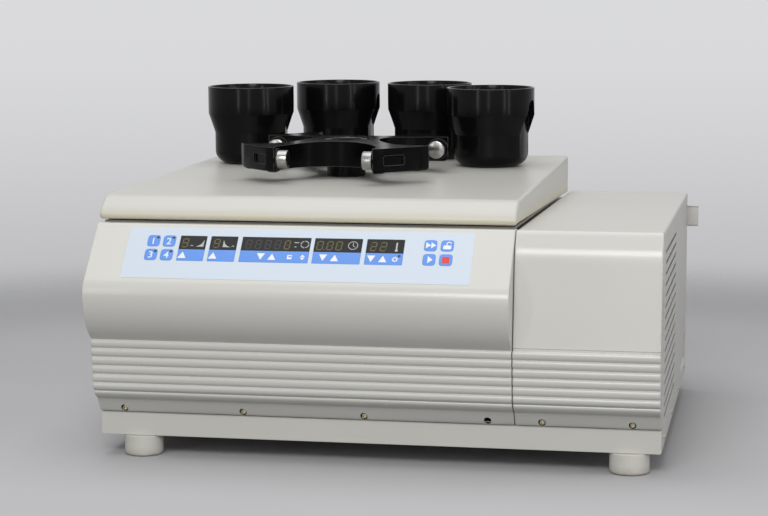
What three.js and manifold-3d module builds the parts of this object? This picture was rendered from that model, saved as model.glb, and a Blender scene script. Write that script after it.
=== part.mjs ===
// Refrigerated benchtop centrifuge, with its swing-out rotor and four round buckets set out on the closed lid.
// Units are millimetres. +Z is up, +X is to the right and the front faces -Y.
// The origin is under the middle of the machine, on the surface that it stands on.

import * as THREE from 'three';
import { mergeVertices } from 'three/addons/utils/BufferGeometryUtils.js';
import Module from 'manifold-3d';

const wasm = await Module();
wasm.setup();

// Driving dimensions of the cabinet
const cabinetWidth = 720;
const cabinetDepth = 645;
const overallDepth = 732.8;
const noseReach = 70.4;
const footHeight = 27;
const skirtHeight = 30.3;
const cabinetTop = 302.3;
const sheet = 2;
const shell = 3;
const gap = 0.3;
const seamX = 178.5;
const seamGap = 2.3;

const left = -cabinetWidth / 2;
const right = cabinetWidth / 2;
const front = noseReach - overallDepth / 2;
const rear = front + cabinetDepth;
const skirtTop = footHeight + skirtHeight;

// Driving dimensions of the chamber, the lid and its hinge
const chamberX = -91;
const chamberY = 37;
const bowlRadius = 214;
const bowlFloor = 110;
const deckTop = 293;
const deckThickness = 3;
const lidLeft = left - 0.5;
const lidRight = 178.4;
const lidFoldY = front + 28.3;
const lidFoldZ = 335.9;
const lidSlope = THREE.MathUtils.degToRad(2.02);
const lidRear = front + 633;
const hingeY = front + 624;
const hingeZ = 308;
const hingeRod = 4;

// Driving dimensions of the slanted control panel
const fasciaTopY = front - 5.8;
const fasciaAngle = THREE.MathUtils.degToRad(48.96);
const noseRadius = 29.6;
const noseZ = 217;
const bellyRadius = 72;
const ribTop = 156.8;
const ribCount = 7;
const ribPitch = 11.35;
const ribDepth = 2.8;

// Driving dimensions of the rotor and the buckets
const seatRadius = 117;
const pinRadius = 12.4;
const spigotRadius = 5;
const pinGap = 51.7;
const headFace = 68;
const collarFace = 65.4;
const collarRadius = 14.8;
const armReach = 145;
const armSweep = 148.2;
const rotorTop = 49.5;
const hubTop = 52;
const hubRecess = 49.8;
const hubRecessRadius = 34;
const hubPlateTop = 51;
const hubPlateRadius = 30;
const hubShoulder = 49;
const armShoulder = 105;
const rotorUnder = 17;
const lugUnder = 15.3;
const pinHeight = 32.4;
const bucketRim = 63.7;
const bucketBody = 54.8;
const bucketHeight = 113.8;

const finishes = {
  whitePaint: { color: 0xd8d7d1, roughness: 0.45, metalness: 0 },
  greyPaint: { color: 0xb4b4ae, roughness: 0.5, metalness: 0 },
  rubber: { color: 0xc9c7bd, roughness: 0.8, metalness: 0 },
  blackRubber: { color: 0x1c1c1c, roughness: 0.85, metalness: 0 },
  steel: { color: 0xb9babb, roughness: 0.3, metalness: 1 },
  blackAnodised: { color: 0x0b0b0c, roughness: 0.3, metalness: 0.4 },
  foil: { color: 0xd6e1eb, roughness: 0.4, metalness: 0 },
  blueKey: { color: 0x659ced, roughness: 0.45, metalness: 0 },
  redKey: { color: 0xf0504a, roughness: 0.45, metalness: 0 },
  smokedLens: { color: 0x33332f, roughness: 0.2, metalness: 0 },
  blackPlastic: { color: 0x202022, roughness: 0.5, metalness: 0 },
  blackPaint: { color: 0x18181a, roughness: 0.4, metalness: 0 },
  greenBoard: { color: 0x1f5a38, roughness: 0.6, metalness: 0 },
  aluminium: { color: 0xa8abad, roughness: 0.4, metalness: 1 },
};

const centrifuge = new THREE.Group();

// Turns a closed geometry into a solid that can be joined and cut
function solidOf(geometry) {
  const bare = geometry.clone();
  bare.deleteAttribute('normal');
  bare.deleteAttribute('uv');
  const merged = mergeVertices(bare, 1e-4);
  const vertProperties = new Float32Array(merged.attributes.position.array);
  const triVerts = new Uint32Array(merged.index.array);
  return new wasm.Manifold(new wasm.Mesh({ numProp: 3, vertProperties, triVerts }));
}

function geometryOf(solid) {
  const mesh = solid.getMesh();
  const geometry = new THREE.BufferGeometry();
  geometry.setAttribute('position', new THREE.BufferAttribute(mesh.vertProperties, 3));
  geometry.setIndex(new THREE.BufferAttribute(mesh.triVerts, 1));
  return geometry;
}

function addPart(parent, name, solid, finishName) {
  const material = new THREE.MeshStandardMaterial(finishes[finishName]);
  const mesh = new THREE.Mesh(geometryOf(solid), material);
  mesh.name = name;
  parent.add(mesh);
  return mesh;
}

function joined(first, ...others) {
  return others.reduce((whole, piece) => whole.add(piece), first);
}

function cut(first, ...others) {
  return others.reduce((whole, piece) => whole.subtract(piece), first);
}

function block(x0, x1, y0, y1, z0, z1) {
  const geometry = new THREE.BoxGeometry(x1 - x0, y1 - y0, z1 - z0);
  geometry.translate((x0 + x1) / 2, (y0 + y1) / 2, (z0 + z1) / 2);
  return solidOf(geometry);
}

function extruded(points, depth) {
  const shape = new THREE.Shape(points.map(([a, b]) => new THREE.Vector2(a, b)));
  return new THREE.ExtrudeGeometry(shape, { depth, bevelEnabled: false });
}

// A section given as [y, z] points, carried along X
function alongX(points, x0, x1) {
  const geometry = extruded(points, x1 - x0);
  const turn = new THREE.Matrix4().makeBasis(
    new THREE.Vector3(0, 1, 0),
    new THREE.Vector3(0, 0, 1),
    new THREE.Vector3(1, 0, 0),
  );
  geometry.applyMatrix4(turn);
  geometry.translate(x0, 0, 0);
  return solidOf(geometry);
}

// A plan given as [x, y] points, carried up Z
function alongZ(points, z0, z1) {
  const geometry = extruded(points, z1 - z0);
  geometry.translate(0, 0, z0);
  return solidOf(geometry);
}

// A section given as [radius, z] points, turned about a vertical axis at (x, y)
function turned(points, x, y, segments = 48) {
  const outline = points.map(([r, z]) => new THREE.Vector2(r, z));
  const profile = THREE.ShapeUtils.area(outline) > 0 ? outline : outline.reverse();
  const geometry = new THREE.LatheGeometry(profile, segments);
  geometry.rotateX(Math.PI / 2);
  geometry.translate(x, y, 0);
  return solidOf(geometry);
}

// A section that comes back to its first point, such as a ring's
function turnedRing(points, x, y, segments = 48) {
  return turned([...points, points[0]], x, y, segments);
}

function rod(axis, radius, start, end, a, b, segments = 24) {
  const geometry = new THREE.CylinderGeometry(radius, radius, end - start, segments);
  const middle = (start + end) / 2;
  if (axis === 'x') {
    geometry.rotateZ(-Math.PI / 2);
    geometry.translate(middle, a, b);
  } else if (axis === 'y') {
    geometry.translate(a, middle, b);
  } else {
    geometry.rotateX(Math.PI / 2);
    geometry.translate(a, b, middle);
  }
  return solidOf(geometry);
}

function arc(centreA, centreB, radius, fromDegrees, toDegrees, steps) {
  const points = [];
  for (let i = 0; i <= steps; i += 1) {
    const turn = THREE.MathUtils.degToRad(fromDegrees + ((toDegrees - fromDegrees) * i) / steps);
    points.push([centreA + radius * Math.cos(turn), centreB + radius * Math.sin(turn)]);
  }
  return points;
}

function roundedRectangle(x0, x1, y0, y1, radius, steps = 2) {
  return [
    ...arc(x1 - radius, y1 - radius, radius, 0, 90, steps),
    ...arc(x0 + radius, y1 - radius, radius, 90, 180, steps),
    ...arc(x0 + radius, y0 + radius, radius, 180, 270, steps),
    ...arc(x1 - radius, y0 + radius, radius, 270, 360, steps),
  ];
}

function placed(solid, matrix) {
  return solidOf(geometryOf(solid).applyMatrix4(matrix));
}

// Base pan of folded sheet steel: a full-width front skirt, with the other three walls set in behind the covers.
// A post and stud on its left carry the foot of the lid's gas strut.
const strutX = -343;
const strutFootY = front + 564;
const strutFootZ = 108;
const strutStud = 4;
const panWallTop = 54;

function basePan() {
  const inset = sheet + gap;
  const floor = block(left + inset, right - inset, front + gap, rear - inset, footHeight, footHeight + 2.5);
  const skirt = block(left, right, front, front + sheet, footHeight, skirtTop);
  const leftWall = block(left + inset, left + inset + sheet, front + 1, rear - inset, footHeight, panWallTop);
  const rightWall = block(right - inset - sheet, right - inset, front + 1, rear - inset, footHeight, panWallTop);
  const rearWall = block(left + inset, right - inset, rear - inset - sheet, rear - inset, footHeight, panWallTop);
  const post = block(strutX + 10, strutX + 14, strutFootY - 12, strutFootY + 12, footHeight + 1, strutFootZ + 12);
  const stud = rod('x', strutStud, strutX - 6, strutX + 11, strutFootY, strutFootZ, 16);
  return joined(floor, skirt, leftWall, rightWall, rearWall, post, stud);
}

addPart(centrifuge, 'base_pan', basePan(), 'whitePaint');

// Four rubber feet with a rounded tread edge
const footRadius = 25;
const feet = [
  ['foot_front_left', -308, front + 16],
  ['foot_front_right', 320, front + 16],
  ['foot_rear_left', -308, rear - 45],
  ['foot_rear_right', 320, rear - 45],
];

for (const [name, x, y] of feet) {
  const tread = arc(footRadius - 4, 4, 4, -90, 0, 2);
  const profile = [[0, 0], ...tread, [footRadius, footHeight - gap], [0, footHeight - gap]];
  addPart(centrifuge, name, turned(profile, x, y, 24), 'rubber');
}

// Front face of the ribbed band: it leans in slightly, then rolls under towards the skirt
function ribFaceY(z) {
  const below = Math.max(0, 97 - z);
  return front - 41.3 + 0.12 * (ribTop - z) + 0.03 * below * below;
}

function ribSection() {
  const across = [
    [0, ribDepth],
    [0.07, 1.9],
    [0.2, 0.75],
    [0.4, 0],
    [0.6, 0],
    [0.8, 0.75],
    [0.93, 1.9],
  ];
  const points = [];
  for (let rib = 0; rib < ribCount; rib += 1) {
    for (const [share, inward] of across) {
      const z = ribTop - (rib + share) * ribPitch;
      points.push([ribFaceY(z) + inward, z]);
    }
  }
  return points;
}

const ribBottom = ribTop - ribCount * ribPitch;
const lowerBand = [
  [front - 17.6, ribBottom],
  [front - 16.4, ribBottom - 1.4],
  [front - 7.2, 62],
  [front - 4.6, 59.2],
  [front - 2, skirtTop + 0.7],
];
const ribInside = [
  [front - 35.5, ribTop],
  [front - 29, 102],
  [front - 16.5, 80],
  [front - 4, 64],
  [front + 2, 61.3],
  [front + 40, 61.3],
];
const coverBack = front + 12;

// Slanted control panel's own frame: x from the left edge, y up the slant, z out of the panel
const panelDrop = 1.1;
const panel = new THREE.Group();
panel.position.set(
  left + 0.6, fasciaTopY - panelDrop * Math.cos(fasciaAngle), cabinetTop - panelDrop * Math.sin(fasciaAngle),
);
panel.rotation.x = fasciaAngle;
panel.updateMatrix();
centrifuge.add(panel);

// Keys of the control panel: [name, x0, x1, y0, y1] in the panel's frame
const topRow = [-34.6, -17.2];
const bottomRow = [-55.75, -38.35];
const rightTopRow = [-33.7, -16.8];
const rightBottomRow = [-55.2, -37.8];
const arrowRow = [-55.6, -38.2];
const keys = [
  ['program_key_1', 72.1, 88.4, ...topRow, 'blueKey'],
  ['program_key_2', 92.6, 108.9, ...topRow, 'blueKey'],
  ['program_key_3', 72.1, 88.4, ...bottomRow, 'blueKey'],
  ['program_key_4', 92.6, 108.9, ...bottomRow, 'blueKey'],
  ['acceleration_key', 114.6, 149, ...arrowRow, 'blueKey'],
  ['braking_key', 154.4, 189.2, ...arrowRow, 'blueKey'],
  ['speed_keys', 195.2, 283.4, ...arrowRow, 'blueKey'],
  ['time_keys', 288.4, 349, ...arrowRow, 'blueKey'],
  ['temperature_keys', 354.8, 402.2, ...arrowRow, 'blueKey'],
  ['quick_run_key', 427.1, 442.9, ...rightTopRow, 'blueKey'],
  ['lid_key', 447.7, 463.8, ...rightTopRow, 'blueKey'],
  ['start_key', 427.3, 443.1, ...rightBottomRow, 'blueKey'],
  ['stop_key', 447.9, 464.1, ...rightBottomRow, 'redKey'],
];
const windows = [
  [114.6, 149],
  [154.4, 189.2],
  [195.2, 283.4],
  [288.4, 349],
  [354.8, 402.2],
];
const windowRow = [-36.6, -17.2];
const keyCorner = 3.5;
const keyProud = 1.2;
const keyRoot = -1.6;
const foilBottom = gap;
const foilTop = 0.9;

function keyOutline([, x0, x1, y0, y1], margin) {
  return roundedRectangle(x0 - margin, x1 + margin, y0 - margin, y1 + margin, keyCorner);
}

for (const key of keys) {
  addPart(panel, key[0], alongZ(keyOutline(key, 0), keyRoot, keyProud), key[5]);
}

// Printed foil of the keypad, with an opening for each key and each display
function keypadFoil() {
  let foil = alongZ(roundedRectangle(46.5, 489, -82, -5, 2), foilBottom, foilTop);
  for (const key of keys) {
    foil = foil.subtract(alongZ(keyOutline(key, 0.4), -2, 3));
  }
  for (const [x0, x1] of windows) {
    foil = foil.subtract(block(x0, x1, windowRow[0], windowRow[1], -2, 3));
  }
  return foil;
}

addPart(panel, 'keypad_foil', keypadFoil(), 'foil');

// One smoked strip lies behind the foil's five display openings
const lensMargin = 0.35;
const lens = [113, 404, -37, -15.8];
addPart(panel, 'display_lens', block(...lens, -2.2, -0.1), 'smokedLens');

// Board with the dome switches and the digits, behind the panel
const boardFace = -12;
addPart(panel, 'control_board', block(60, 478, -68, -8, boardFace - 2, boardFace), 'greenBoard');

// Front cowl: a moulded shell whose slanted panel rolls over a nose into the ribbed band
function frontCowl() {
  const noseCentre = front - 40.8;
  const bellyCentre = front + 1.6;
  const noseStart = 180 - THREE.MathUtils.radToDeg(Math.PI / 2 - fasciaAngle);
  const bellyEnd = 180 + THREE.MathUtils.radToDeg(Math.asin((noseZ - ribTop) / bellyRadius));
  const outside = [
    [coverBack, cabinetTop],
    [fasciaTopY + 1.5, cabinetTop],
    [fasciaTopY - 0.6, cabinetTop - 0.7],
    ...arc(noseCentre, noseZ, noseRadius, noseStart, 180, 6),
    ...arc(bellyCentre, noseZ, bellyRadius, 180, bellyEnd, 9).slice(1),
    ...ribSection(),
    ...lowerBand,
    [coverBack, skirtTop + 0.7],
  ];
  const innerBellyEnd = 180 + THREE.MathUtils.radToDeg(Math.asin((noseZ - ribTop - 2) / (bellyRadius - shell)));
  const inside = [
    [front + 40, cabinetTop - shell],
    [fasciaTopY + 2, cabinetTop - shell],
    ...arc(noseCentre, noseZ, noseRadius - shell, noseStart, 180, 4),
    ...arc(bellyCentre, noseZ, bellyRadius - shell, 180, innerBellyEnd, 6).slice(1),
    ...ribInside,
  ];
  const body = alongX(outside, left, seamX);
  let cowl = body.subtract(alongX(inside, left + shell, seamX - shell));
  for (const key of keys) {
    cowl = cowl.subtract(placed(alongZ(keyOutline(key, 0.4), -8, 6), panel.matrix));
  }
  const [lensX0, lensX1, lensY0, lensY1] = lens;
  const lensSeat = block(lensX0 - lensMargin, lensX1 + lensMargin, lensY0 - lensMargin, lensY1 + lensMargin, -8, 6);
  cowl = cowl.subtract(placed(lensSeat, panel.matrix));
  for (const [x, y] of [[64, -12], [64, -64], [474, -12], [474, -64]]) {
    cowl = cowl.add(placed(rod('z', 3.5, boardFace + gap, -1.5, x, y, 8), panel.matrix));
  }
  return cowl;
}

addPart(centrifuge, 'front_cowl', frontCowl(), 'whitePaint');

// Front cover of the cooling section, on the right, with the same ribbed band
const foldY = front - 3;

function rightFrontCover() {
  const outside = [
    [coverBack, cabinetTop - sheet - gap],
    [foldY, cabinetTop - sheet - gap],
    [foldY, cabinetTop],
    [fasciaTopY + 1.5, cabinetTop],
    [fasciaTopY - 0.6, cabinetTop - 0.7],
    [front - 16, 287.5],
    [front - 19.4, 281.5],
    [front - 22, 275],
    [front - 23.6, 267],
    [front - 35.5, ribTop + 2.5],
    [front - 36.4, ribTop + 0.6],
    ...ribSection(),
    ...lowerBand,
    [coverBack, skirtTop + 0.7],
  ];
  const inside = [
    [front + 40, cabinetTop - 2 * shell],
    [fasciaTopY + 2, cabinetTop - 2 * shell],
    [front - 12.5, 286],
    [front - 19, 274],
    [front - 20.5, 266],
    [front - 32.3, ribTop + 2],
    ...ribInside.slice(1),
  ];
  const body = alongX(outside, seamX + seamGap, right);
  return body.subtract(alongX(inside, seamX + seamGap + shell, right - shell));
}

addPart(centrifuge, 'right_front_cover', rightFrontCover(), 'whitePaint');

// Top and right side of the cooling section, folded from one sheet, with a column of long air slots in the side
const slotHeight = 4.4;
const slotRows = 16;
const slotPitch = 13.8;

function rightCabinetCover() {
  const coverFront = coverBack + gap + 0.7;
  const coverLeft = lidRight + 2.2;
  const top = block(coverLeft, right, foldY + gap, rear, cabinetTop - sheet, cabinetTop);
  const side = block(right - sheet, right, coverFront, rear, footHeight + 1, cabinetTop - 1);
  const lip = block(coverLeft, coverLeft + sheet, coverFront, rear, deckTop + 1, cabinetTop - 1);
  const slots = [];
  for (let row = 0; row < slotRows; row += 1) {
    const z = 63.5 + row * slotPitch;
    slots.push(block(right - 3 * sheet, right + sheet, front + 47, front + 309, z, z + slotHeight));
  }
  return cut(joined(top, side, lip), ...slots);
}

addPart(centrifuge, 'right_cabinet_cover', rightCabinetCover(), 'whitePaint');

// Plain left side panel
const panelTop = 296;
const sideFront = coverBack + gap + 0.7;
const leftPanel = block(left, left + sheet, sideFront, rear, footHeight + 1, panelTop);
addPart(centrifuge, 'left_side_panel', leftPanel, 'whitePaint');

// Rear panel with the air outlet slots, the inlet's opening and the switch's opening
const inletX = 262;
const switchX = 205;
const connectorZ = 78;

function rearPanel() {
  const plate = block(left + sheet + gap, right - sheet - gap, rear - sheet, rear, panWallTop + 1.5, 289);
  const openings = [
    block(inletX - 17, inletX + 17, rear - 6, rear + 3, connectorZ - 13, connectorZ + 13),
    block(switchX - 11.4, switchX + 11.4, rear - 6, rear + 3, connectorZ - 15.4, connectorZ + 15.4),
  ];
  for (let row = 0; row < 8; row += 1) {
    const z = 130 + row * slotPitch;
    openings.push(block(215, 335, rear - 6, rear + 3, z, z + slotHeight));
  }
  return cut(plate, ...openings);
}

addPart(centrifuge, 'rear_panel', rearPanel(), 'whitePaint');

// Spacer bar across the back keeps the air gap to the wall and reaches past both sides
function rearSpacerBar() {
  const reach = 16;
  const barFront = rear + gap;
  const barRear = overallDepth / 2;
  const z0 = 251;
  const z1 = 282;
  const outer = block(left - reach, right + reach, barFront, barRear, z0, z1);
  const hollow = block(left + 3, right - 3, barFront - 1, barRear - sheet, z0 + sheet, z1 - sheet);
  const feetPlates = [left + 40, 0, right - 40].map(
    (x) => block(x - 15, x + 15, barFront, barRear - 1, z0, z1),
  );
  return joined(outer.subtract(hollow), ...feetPlates);
}

addPart(centrifuge, 'rear_spacer_bar', rearSpacerBar(), 'whitePaint');

// Deck under the lid, with the chamber's mouth, a slot for the striker, a guide for the lock bolt,
// and at the back two welded ears for the lid's hinge
const strikerY = front + 40;
const lockZ = 275;
const earCentres = [-290, 110];
const earHalf = 7;

function chamberDeck() {
  const under = deckTop - deckThickness;
  const plate = block(left + sheet + gap, lidRight + 0.6, coverBack + 2, rear - sheet - gap, under, deckTop);
  const mouth = rod('z', bowlRadius + 3.5, under - 5, deckTop + 5, chamberX, chamberY, 44);
  const strikerSlot = block(chamberX - 20, chamberX + 20, strikerY - 10, strikerY + 10, under - 5, deckTop + 5);
  const strutNotch = block(left, strutX + 13, front + 546, front + 612, under - 5, deckTop + 5);
  const guide = block(chamberX - 12, chamberX + 12, strikerY + 22, strikerY + 50, lockZ - 11, under + 1);
  const guideBore = block(
    chamberX - 5.6, chamberX + 5.6, strikerY + 20, strikerY + 52, lockZ - 5.6, lockZ + 5.6,
  );
  let deck = cut(joined(plate, guide), mouth, strikerSlot, strutNotch, guideBore);
  for (const x of earCentres) {
    const post = block(x - earHalf, x + earHalf, hingeY - 5, hingeY + 5, under, hingeZ);
    const knuckle = rod('x', 6, x - earHalf, x + earHalf, hingeY, hingeZ, 16);
    const bore = rod('x', hingeRod + gap, x - earHalf - 2, x + earHalf + 2, hingeY, hingeZ, 16);
    deck = deck.add(post).add(knuckle).subtract(bore);
  }
  return deck;
}

addPart(centrifuge, 'chamber_deck', chamberDeck(), 'whitePaint');

// Stainless steel chamber bowl, hung by its flange in the deck
function chamberBowl() {
  const wall = 2;
  const corner = 26;
  const shaftHole = 38;
  const inner = arc(bowlRadius - corner, bowlFloor + corner, corner, 0, -90, 3);
  const outer = arc(bowlRadius - corner, bowlFloor + corner, corner + wall, -90, 0, 3);
  const profile = [
    [bowlRadius + 9, deckTop + gap],
    [bowlRadius + 9, deckTop + gap + wall],
    [bowlRadius, deckTop + gap + wall],
    ...inner,
    [shaftHole, bowlFloor],
    [shaftHole, bowlFloor - wall],
    ...outer,
    [bowlRadius + wall, deckTop + gap],
  ];
  return turnedRing(profile, chamberX, chamberY, 44);
}

addPart(centrifuge, 'chamber_bowl', chamberBowl(), 'steel');

// Rubber seal on the deck, around the bowl's flange
const sealTop = 300.4;
const sealProfile = [
  [bowlRadius + 11, deckTop + gap],
  [bowlRadius + 21, deckTop + gap],
  [bowlRadius + 21, deckTop + 4],
  [bowlRadius + 18, sealTop],
  [bowlRadius + 15, sealTop],
  [bowlRadius + 11, deckTop + 4],
];
addPart(centrifuge, 'chamber_seal', turnedRing(sealProfile, chamberX, chamberY, 44), 'blackRubber');

// Drive motor on its rubber ring, with the spindle up through the bowl
const spindleRadius = 9;
const motorBottom = 42;
const motorTop = 104;
const collarTop = 120;

const mountRingProfile = [
  [54, footHeight + 2.5 + gap],
  [84, footHeight + 2.5 + gap],
  [80, motorBottom - gap],
  [58, motorBottom - gap],
];
const mountRing = turnedRing(mountRingProfile, chamberX, chamberY, 28);
addPart(centrifuge, 'motor_mount_ring', mountRing, 'blackRubber');

const motorProfile = [
  [0, motorBottom],
  [86, motorBottom],
  [86, motorBottom + 5],
  [72, motorBottom + 8],
  [72, motorTop - 6],
  [66, motorTop],
  [30, motorTop],
  [26, collarTop],
  [spindleRadius + 0.5, collarTop],
  [spindleRadius + 0.5, motorBottom + 12],
  [0, motorBottom + 12],
];
addPart(centrifuge, 'drive_motor', turned(motorProfile, chamberX, chamberY, 28), 'aluminium');

const spindleProfile = [
  [0, motorBottom + 12 + gap],
  [spindleRadius, motorBottom + 12 + gap],
  [spindleRadius, collarTop + 4],
  [15, collarTop + 5],
  [15, collarTop + 10],
  [10, collarTop + 12],
  [7.5, collarTop + 40],
  [6, collarTop + 42],
  [0, collarTop + 42],
];

function driveSpindle() {
  const shaft = turned(spindleProfile, chamberX, chamberY, 20);
  const crossPin = rod('x', 3, chamberX - 17, chamberX + 17, chamberY, collarTop + 16, 12);
  return shaft.add(crossPin);
}

addPart(centrifuge, 'drive_spindle', driveSpindle(), 'steel');

// Refrigeration: a hermetic compressor, a finned condenser behind the air slots, and its fan
const compressorProfile = [
  [0, 52],
  ...arc(42, 72, 20, -90, 0, 3),
  [64, 74],
  [64, 80],
  [62, 82],
  ...arc(32, 188, 30, 0, 90, 3),
  [0, 218],
];

function compressor() {
  const x = 272;
  const y = 190;
  const base = block(x - 70, x + 70, y - 52, y + 52, footHeight + 2.5 + gap, 36);
  const leg = rod('z', 34, 35, 60, x, y, 20);
  return joined(turned(compressorProfile, x, y, 24), leg, base);
}

addPart(centrifuge, 'compressor', compressor(), 'blackPaint');

const fanX = 292;
const fanY = front + 190;
const fanZ = 172;
const fanAxle = 5;

function condenser() {
  const x0 = 318;
  const x1 = 350;
  const y0 = front + 30;
  const y1 = front + 355;
  const core = block(x0, x1, y0, y1, 60, 288);
  const channels = [];
  for (let z = 66; z < 284; z += 12) {
    channels.push(block(x1 - 10, x1 + 2, y0 + 6, y1 - 6, z, z + 7));
  }
  const bar = block(262, 268, fanY - 108, fanY + 108, fanZ - 9, fanZ + 9);
  const legs = [-108, 102].map((y) => block(262, x0 + 1, fanY + y, fanY + y + 6, fanZ - 9, fanZ + 9));
  const axle = rod('x', fanAxle, 266, 300, fanY, fanZ, 16);
  return cut(joined(core, bar, ...legs, axle), ...channels);
}

addPart(centrifuge, 'condenser', condenser(), 'aluminium');

function condenserFan() {
  let fan = rod('x', 26, fanX - 14, fanX + 14, fanY, fanZ, 24);
  const bladeCount = 5;
  for (let i = 0; i < bladeCount; i += 1) {
    const blade = new THREE.BoxGeometry(3, 52, 74);
    blade.rotateZ(0.5);
    blade.translate(0, 0, 58);
    blade.rotateX((i * 2 * Math.PI) / bladeCount);
    blade.translate(fanX, fanY, fanZ);
    fan = fan.add(solidOf(blade));
  }
  return fan.subtract(rod('x', fanAxle + gap, fanX - 20, 300 + gap, fanY, fanZ, 16));
}

addPart(centrifuge, 'condenser_fan', condenserFan(), 'blackPlastic');

// Drive electronics under the chamber, and the mains inlet and switch in the rear panel
const powerBox = block(-315, -205, 190, 300, footHeight + 2.5 + gap, 92);
addPart(centrifuge, 'drive_electronics', powerBox, 'aluminium');

function mainsInlet() {
  const flange = block(inletX - 24, inletX + 24, rear + gap, rear + 3, connectorZ - 16, connectorZ + 16);
  const body = block(inletX - 16.6, inletX + 16.6, rear - 26, rear + 1, connectorZ - 12.6, connectorZ + 12.6);
  const socket = block(inletX - 12, inletX + 12, rear - 19, rear + 4, connectorZ - 8, connectorZ + 8);
  return cut(joined(flange, body), socket);
}

addPart(centrifuge, 'mains_inlet', mainsInlet(), 'blackPlastic');

const switchPivotY = rear - 3;

function mainsSwitch() {
  const section = [
    [rear - 5, connectorZ - 12.5],
    [rear + 1, connectorZ - 13.5],
    [rear + 1.6, connectorZ],
    [rear + 4.6, connectorZ + 13],
    [rear - 5, connectorZ + 12.5],
  ];
  return alongX(section, switchX - 10.5, switchX + 10.5);
}

addPart(centrifuge, 'mains_switch', mainsSwitch(), 'blackPlastic');

// One long rod through the deck's ears, which the lid's frame turns on
addPart(centrifuge, 'hinge_rod', rod('x', hingeRod, -312, 132, hingeY, hingeZ, 16), 'steel');

// Lid: a wedge-shaped shell with a rounded front and a bead along its lower front edge
function lidTopZ(y) {
  return lidFoldZ + (y - lidFoldY) * Math.tan(lidSlope);
}

// Points of a smooth curve from one place to another, with its direction at each end
function blended(start, startWay, end, endWay, steps) {
  const reach = Math.hypot(end[0] - start[0], end[1] - start[1]);
  const points = [];
  for (let i = 1; i <= steps; i += 1) {
    const t = i / steps;
    const weights = [
      2 * t ** 3 - 3 * t ** 2 + 1, (t ** 3 - 2 * t ** 2 + t) * reach, 3 * t ** 2 - 2 * t ** 3, (t ** 3 - t ** 2) * reach,
    ];
    points.push([0, 1].map(
      (k) => weights[0] * start[k] + weights[1] * startWay[k] + weights[2] * end[k] + weights[3] * endWay[k],
    ));
  }
  return points;
}

function lidShell() {
  const rollY = front + 38;
  const rollRadius = 28;
  const rollZ = lidTopZ(rollY) - rollRadius;
  const bead = [
    [front + 9.5, 306.3],
    [front + 5.6, 307.2],
    [front + 3.4, 309.8],
    [front + 3.2, 313],
  ];
  const roll = arc(rollY, rollZ, rollRadius, 128, 92, 4);
  const face = blended(roll[0], [-0.788, -0.616], [front + 3.6, 314.3], [-0.423, -0.906], 5);
  const outside = [
    [lidRear, 302.8],
    [lidRear, lidTopZ(lidRear) - 5],
    [lidRear - 1.5, lidTopZ(lidRear) - 1.5],
    [lidRear - 5, lidTopZ(lidRear - 5)],
    ...roll.slice().reverse(),
    ...face,
    ...bead.slice().reverse(),
  ];
  const inside = [
    [lidRear - 2.4, 290],
    [lidRear - 2.4, lidTopZ(lidRear) - 6],
    [lidRear - 6, lidTopZ(lidRear) - shell - 0.4],
    ...arc(rollY, rollZ, rollRadius - shell, 165, 92, 5).reverse(),
    [front + 13, 290],
  ];
  const wedge = alongX(outside, lidLeft, lidRight);
  const hollow = alongX(inside, lidLeft + shell, lidRight - shell);
  const chamfer = 4;
  const edgeLength = cabinetDepth;
  const edges = [lidLeft, lidRight].map((x) => {
    const prism = new THREE.BoxGeometry(chamfer * Math.SQRT2, edgeLength, chamfer * Math.SQRT2);
    prism.rotateY(Math.PI / 4);
    prism.translate(0, edgeLength / 2 - 20, 0);
    prism.rotateX(lidSlope);
    prism.translate(x, lidFoldY, lidFoldZ);
    return solidOf(prism);
  });
  const earNotches = earCentres.map(
    (x) => block(x - earHalf - 3, x + earHalf + 3, lidRear - 4, lidRear + 2, 300, 322),
  );
  const strutBoss = rod('x', 6, lidLeft + 1, strutX - 4.6, strutFootY, strutTopZ, 16);
  return cut(wedge, hollow, ...edges, ...earNotches).add(strutBoss);
}

const strutTopZ = 314;
addPart(centrifuge, 'lid_shell', lidShell(), 'whitePaint');

// Inner liner closes the lid's underside and presses on the seal
const linerUnder = 301;

function lidLiner() {
  const plate = block(
    lidLeft + shell + 0.5, lidRight - shell - 0.5, front + 16, front + 592, linerUnder, linerUnder + 3,
  );
  const strutNotch = block(lidLeft, strutX + 13, front + 540, front + 600, linerUnder - 2, linerUnder + 5);
  const pressRing = turnedRing(
    [
      [bowlRadius + 8, linerUnder + 1],
      [bowlRadius + 8, sealTop + gap],
      [bowlRadius + 25, sealTop + gap],
      [bowlRadius + 25, linerUnder + 1],
    ],
    chamberX,
    chamberY,
    44,
  );
  const stiffeners = [-240, 60].map((x) => block(x - 3, x + 3, front + 60, front + 560, linerUnder + 2, 322));
  return joined(plate.subtract(strutNotch), pressRing, ...stiffeners);
}

addPart(centrifuge, 'lid_liner', lidLiner(), 'greyPaint');

// Steel frame in the back of the lid, with a cheek on each side of each hinge ear
function lidHingeFrame() {
  const webBack = front + 600;
  let frame = block(-322, 142, webBack - 4, webBack, 306, lidTopZ(webBack) - shell - 1.2);
  for (const x of earCentres) {
    for (const side of [-1, 1]) {
      const near = x + side * (earHalf + 1);
      const far = x + side * (earHalf + 5);
      const x0 = Math.min(near, far);
      const x1 = Math.max(near, far);
      const arm = block(x0, x1, webBack - 3, hingeY, hingeZ - 1, hingeZ + 6);
      const eye = rod('x', 6, x0, x1, hingeY, hingeZ, 16);
      const bore = rod('x', hingeRod + gap, x0 - 1, x1 + 1, hingeY, hingeZ, 16);
      frame = frame.add(arm).add(eye).subtract(bore);
    }
  }
  return frame;
}

addPart(centrifuge, 'lid_hinge_frame', lidHingeFrame(), 'steel');

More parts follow.
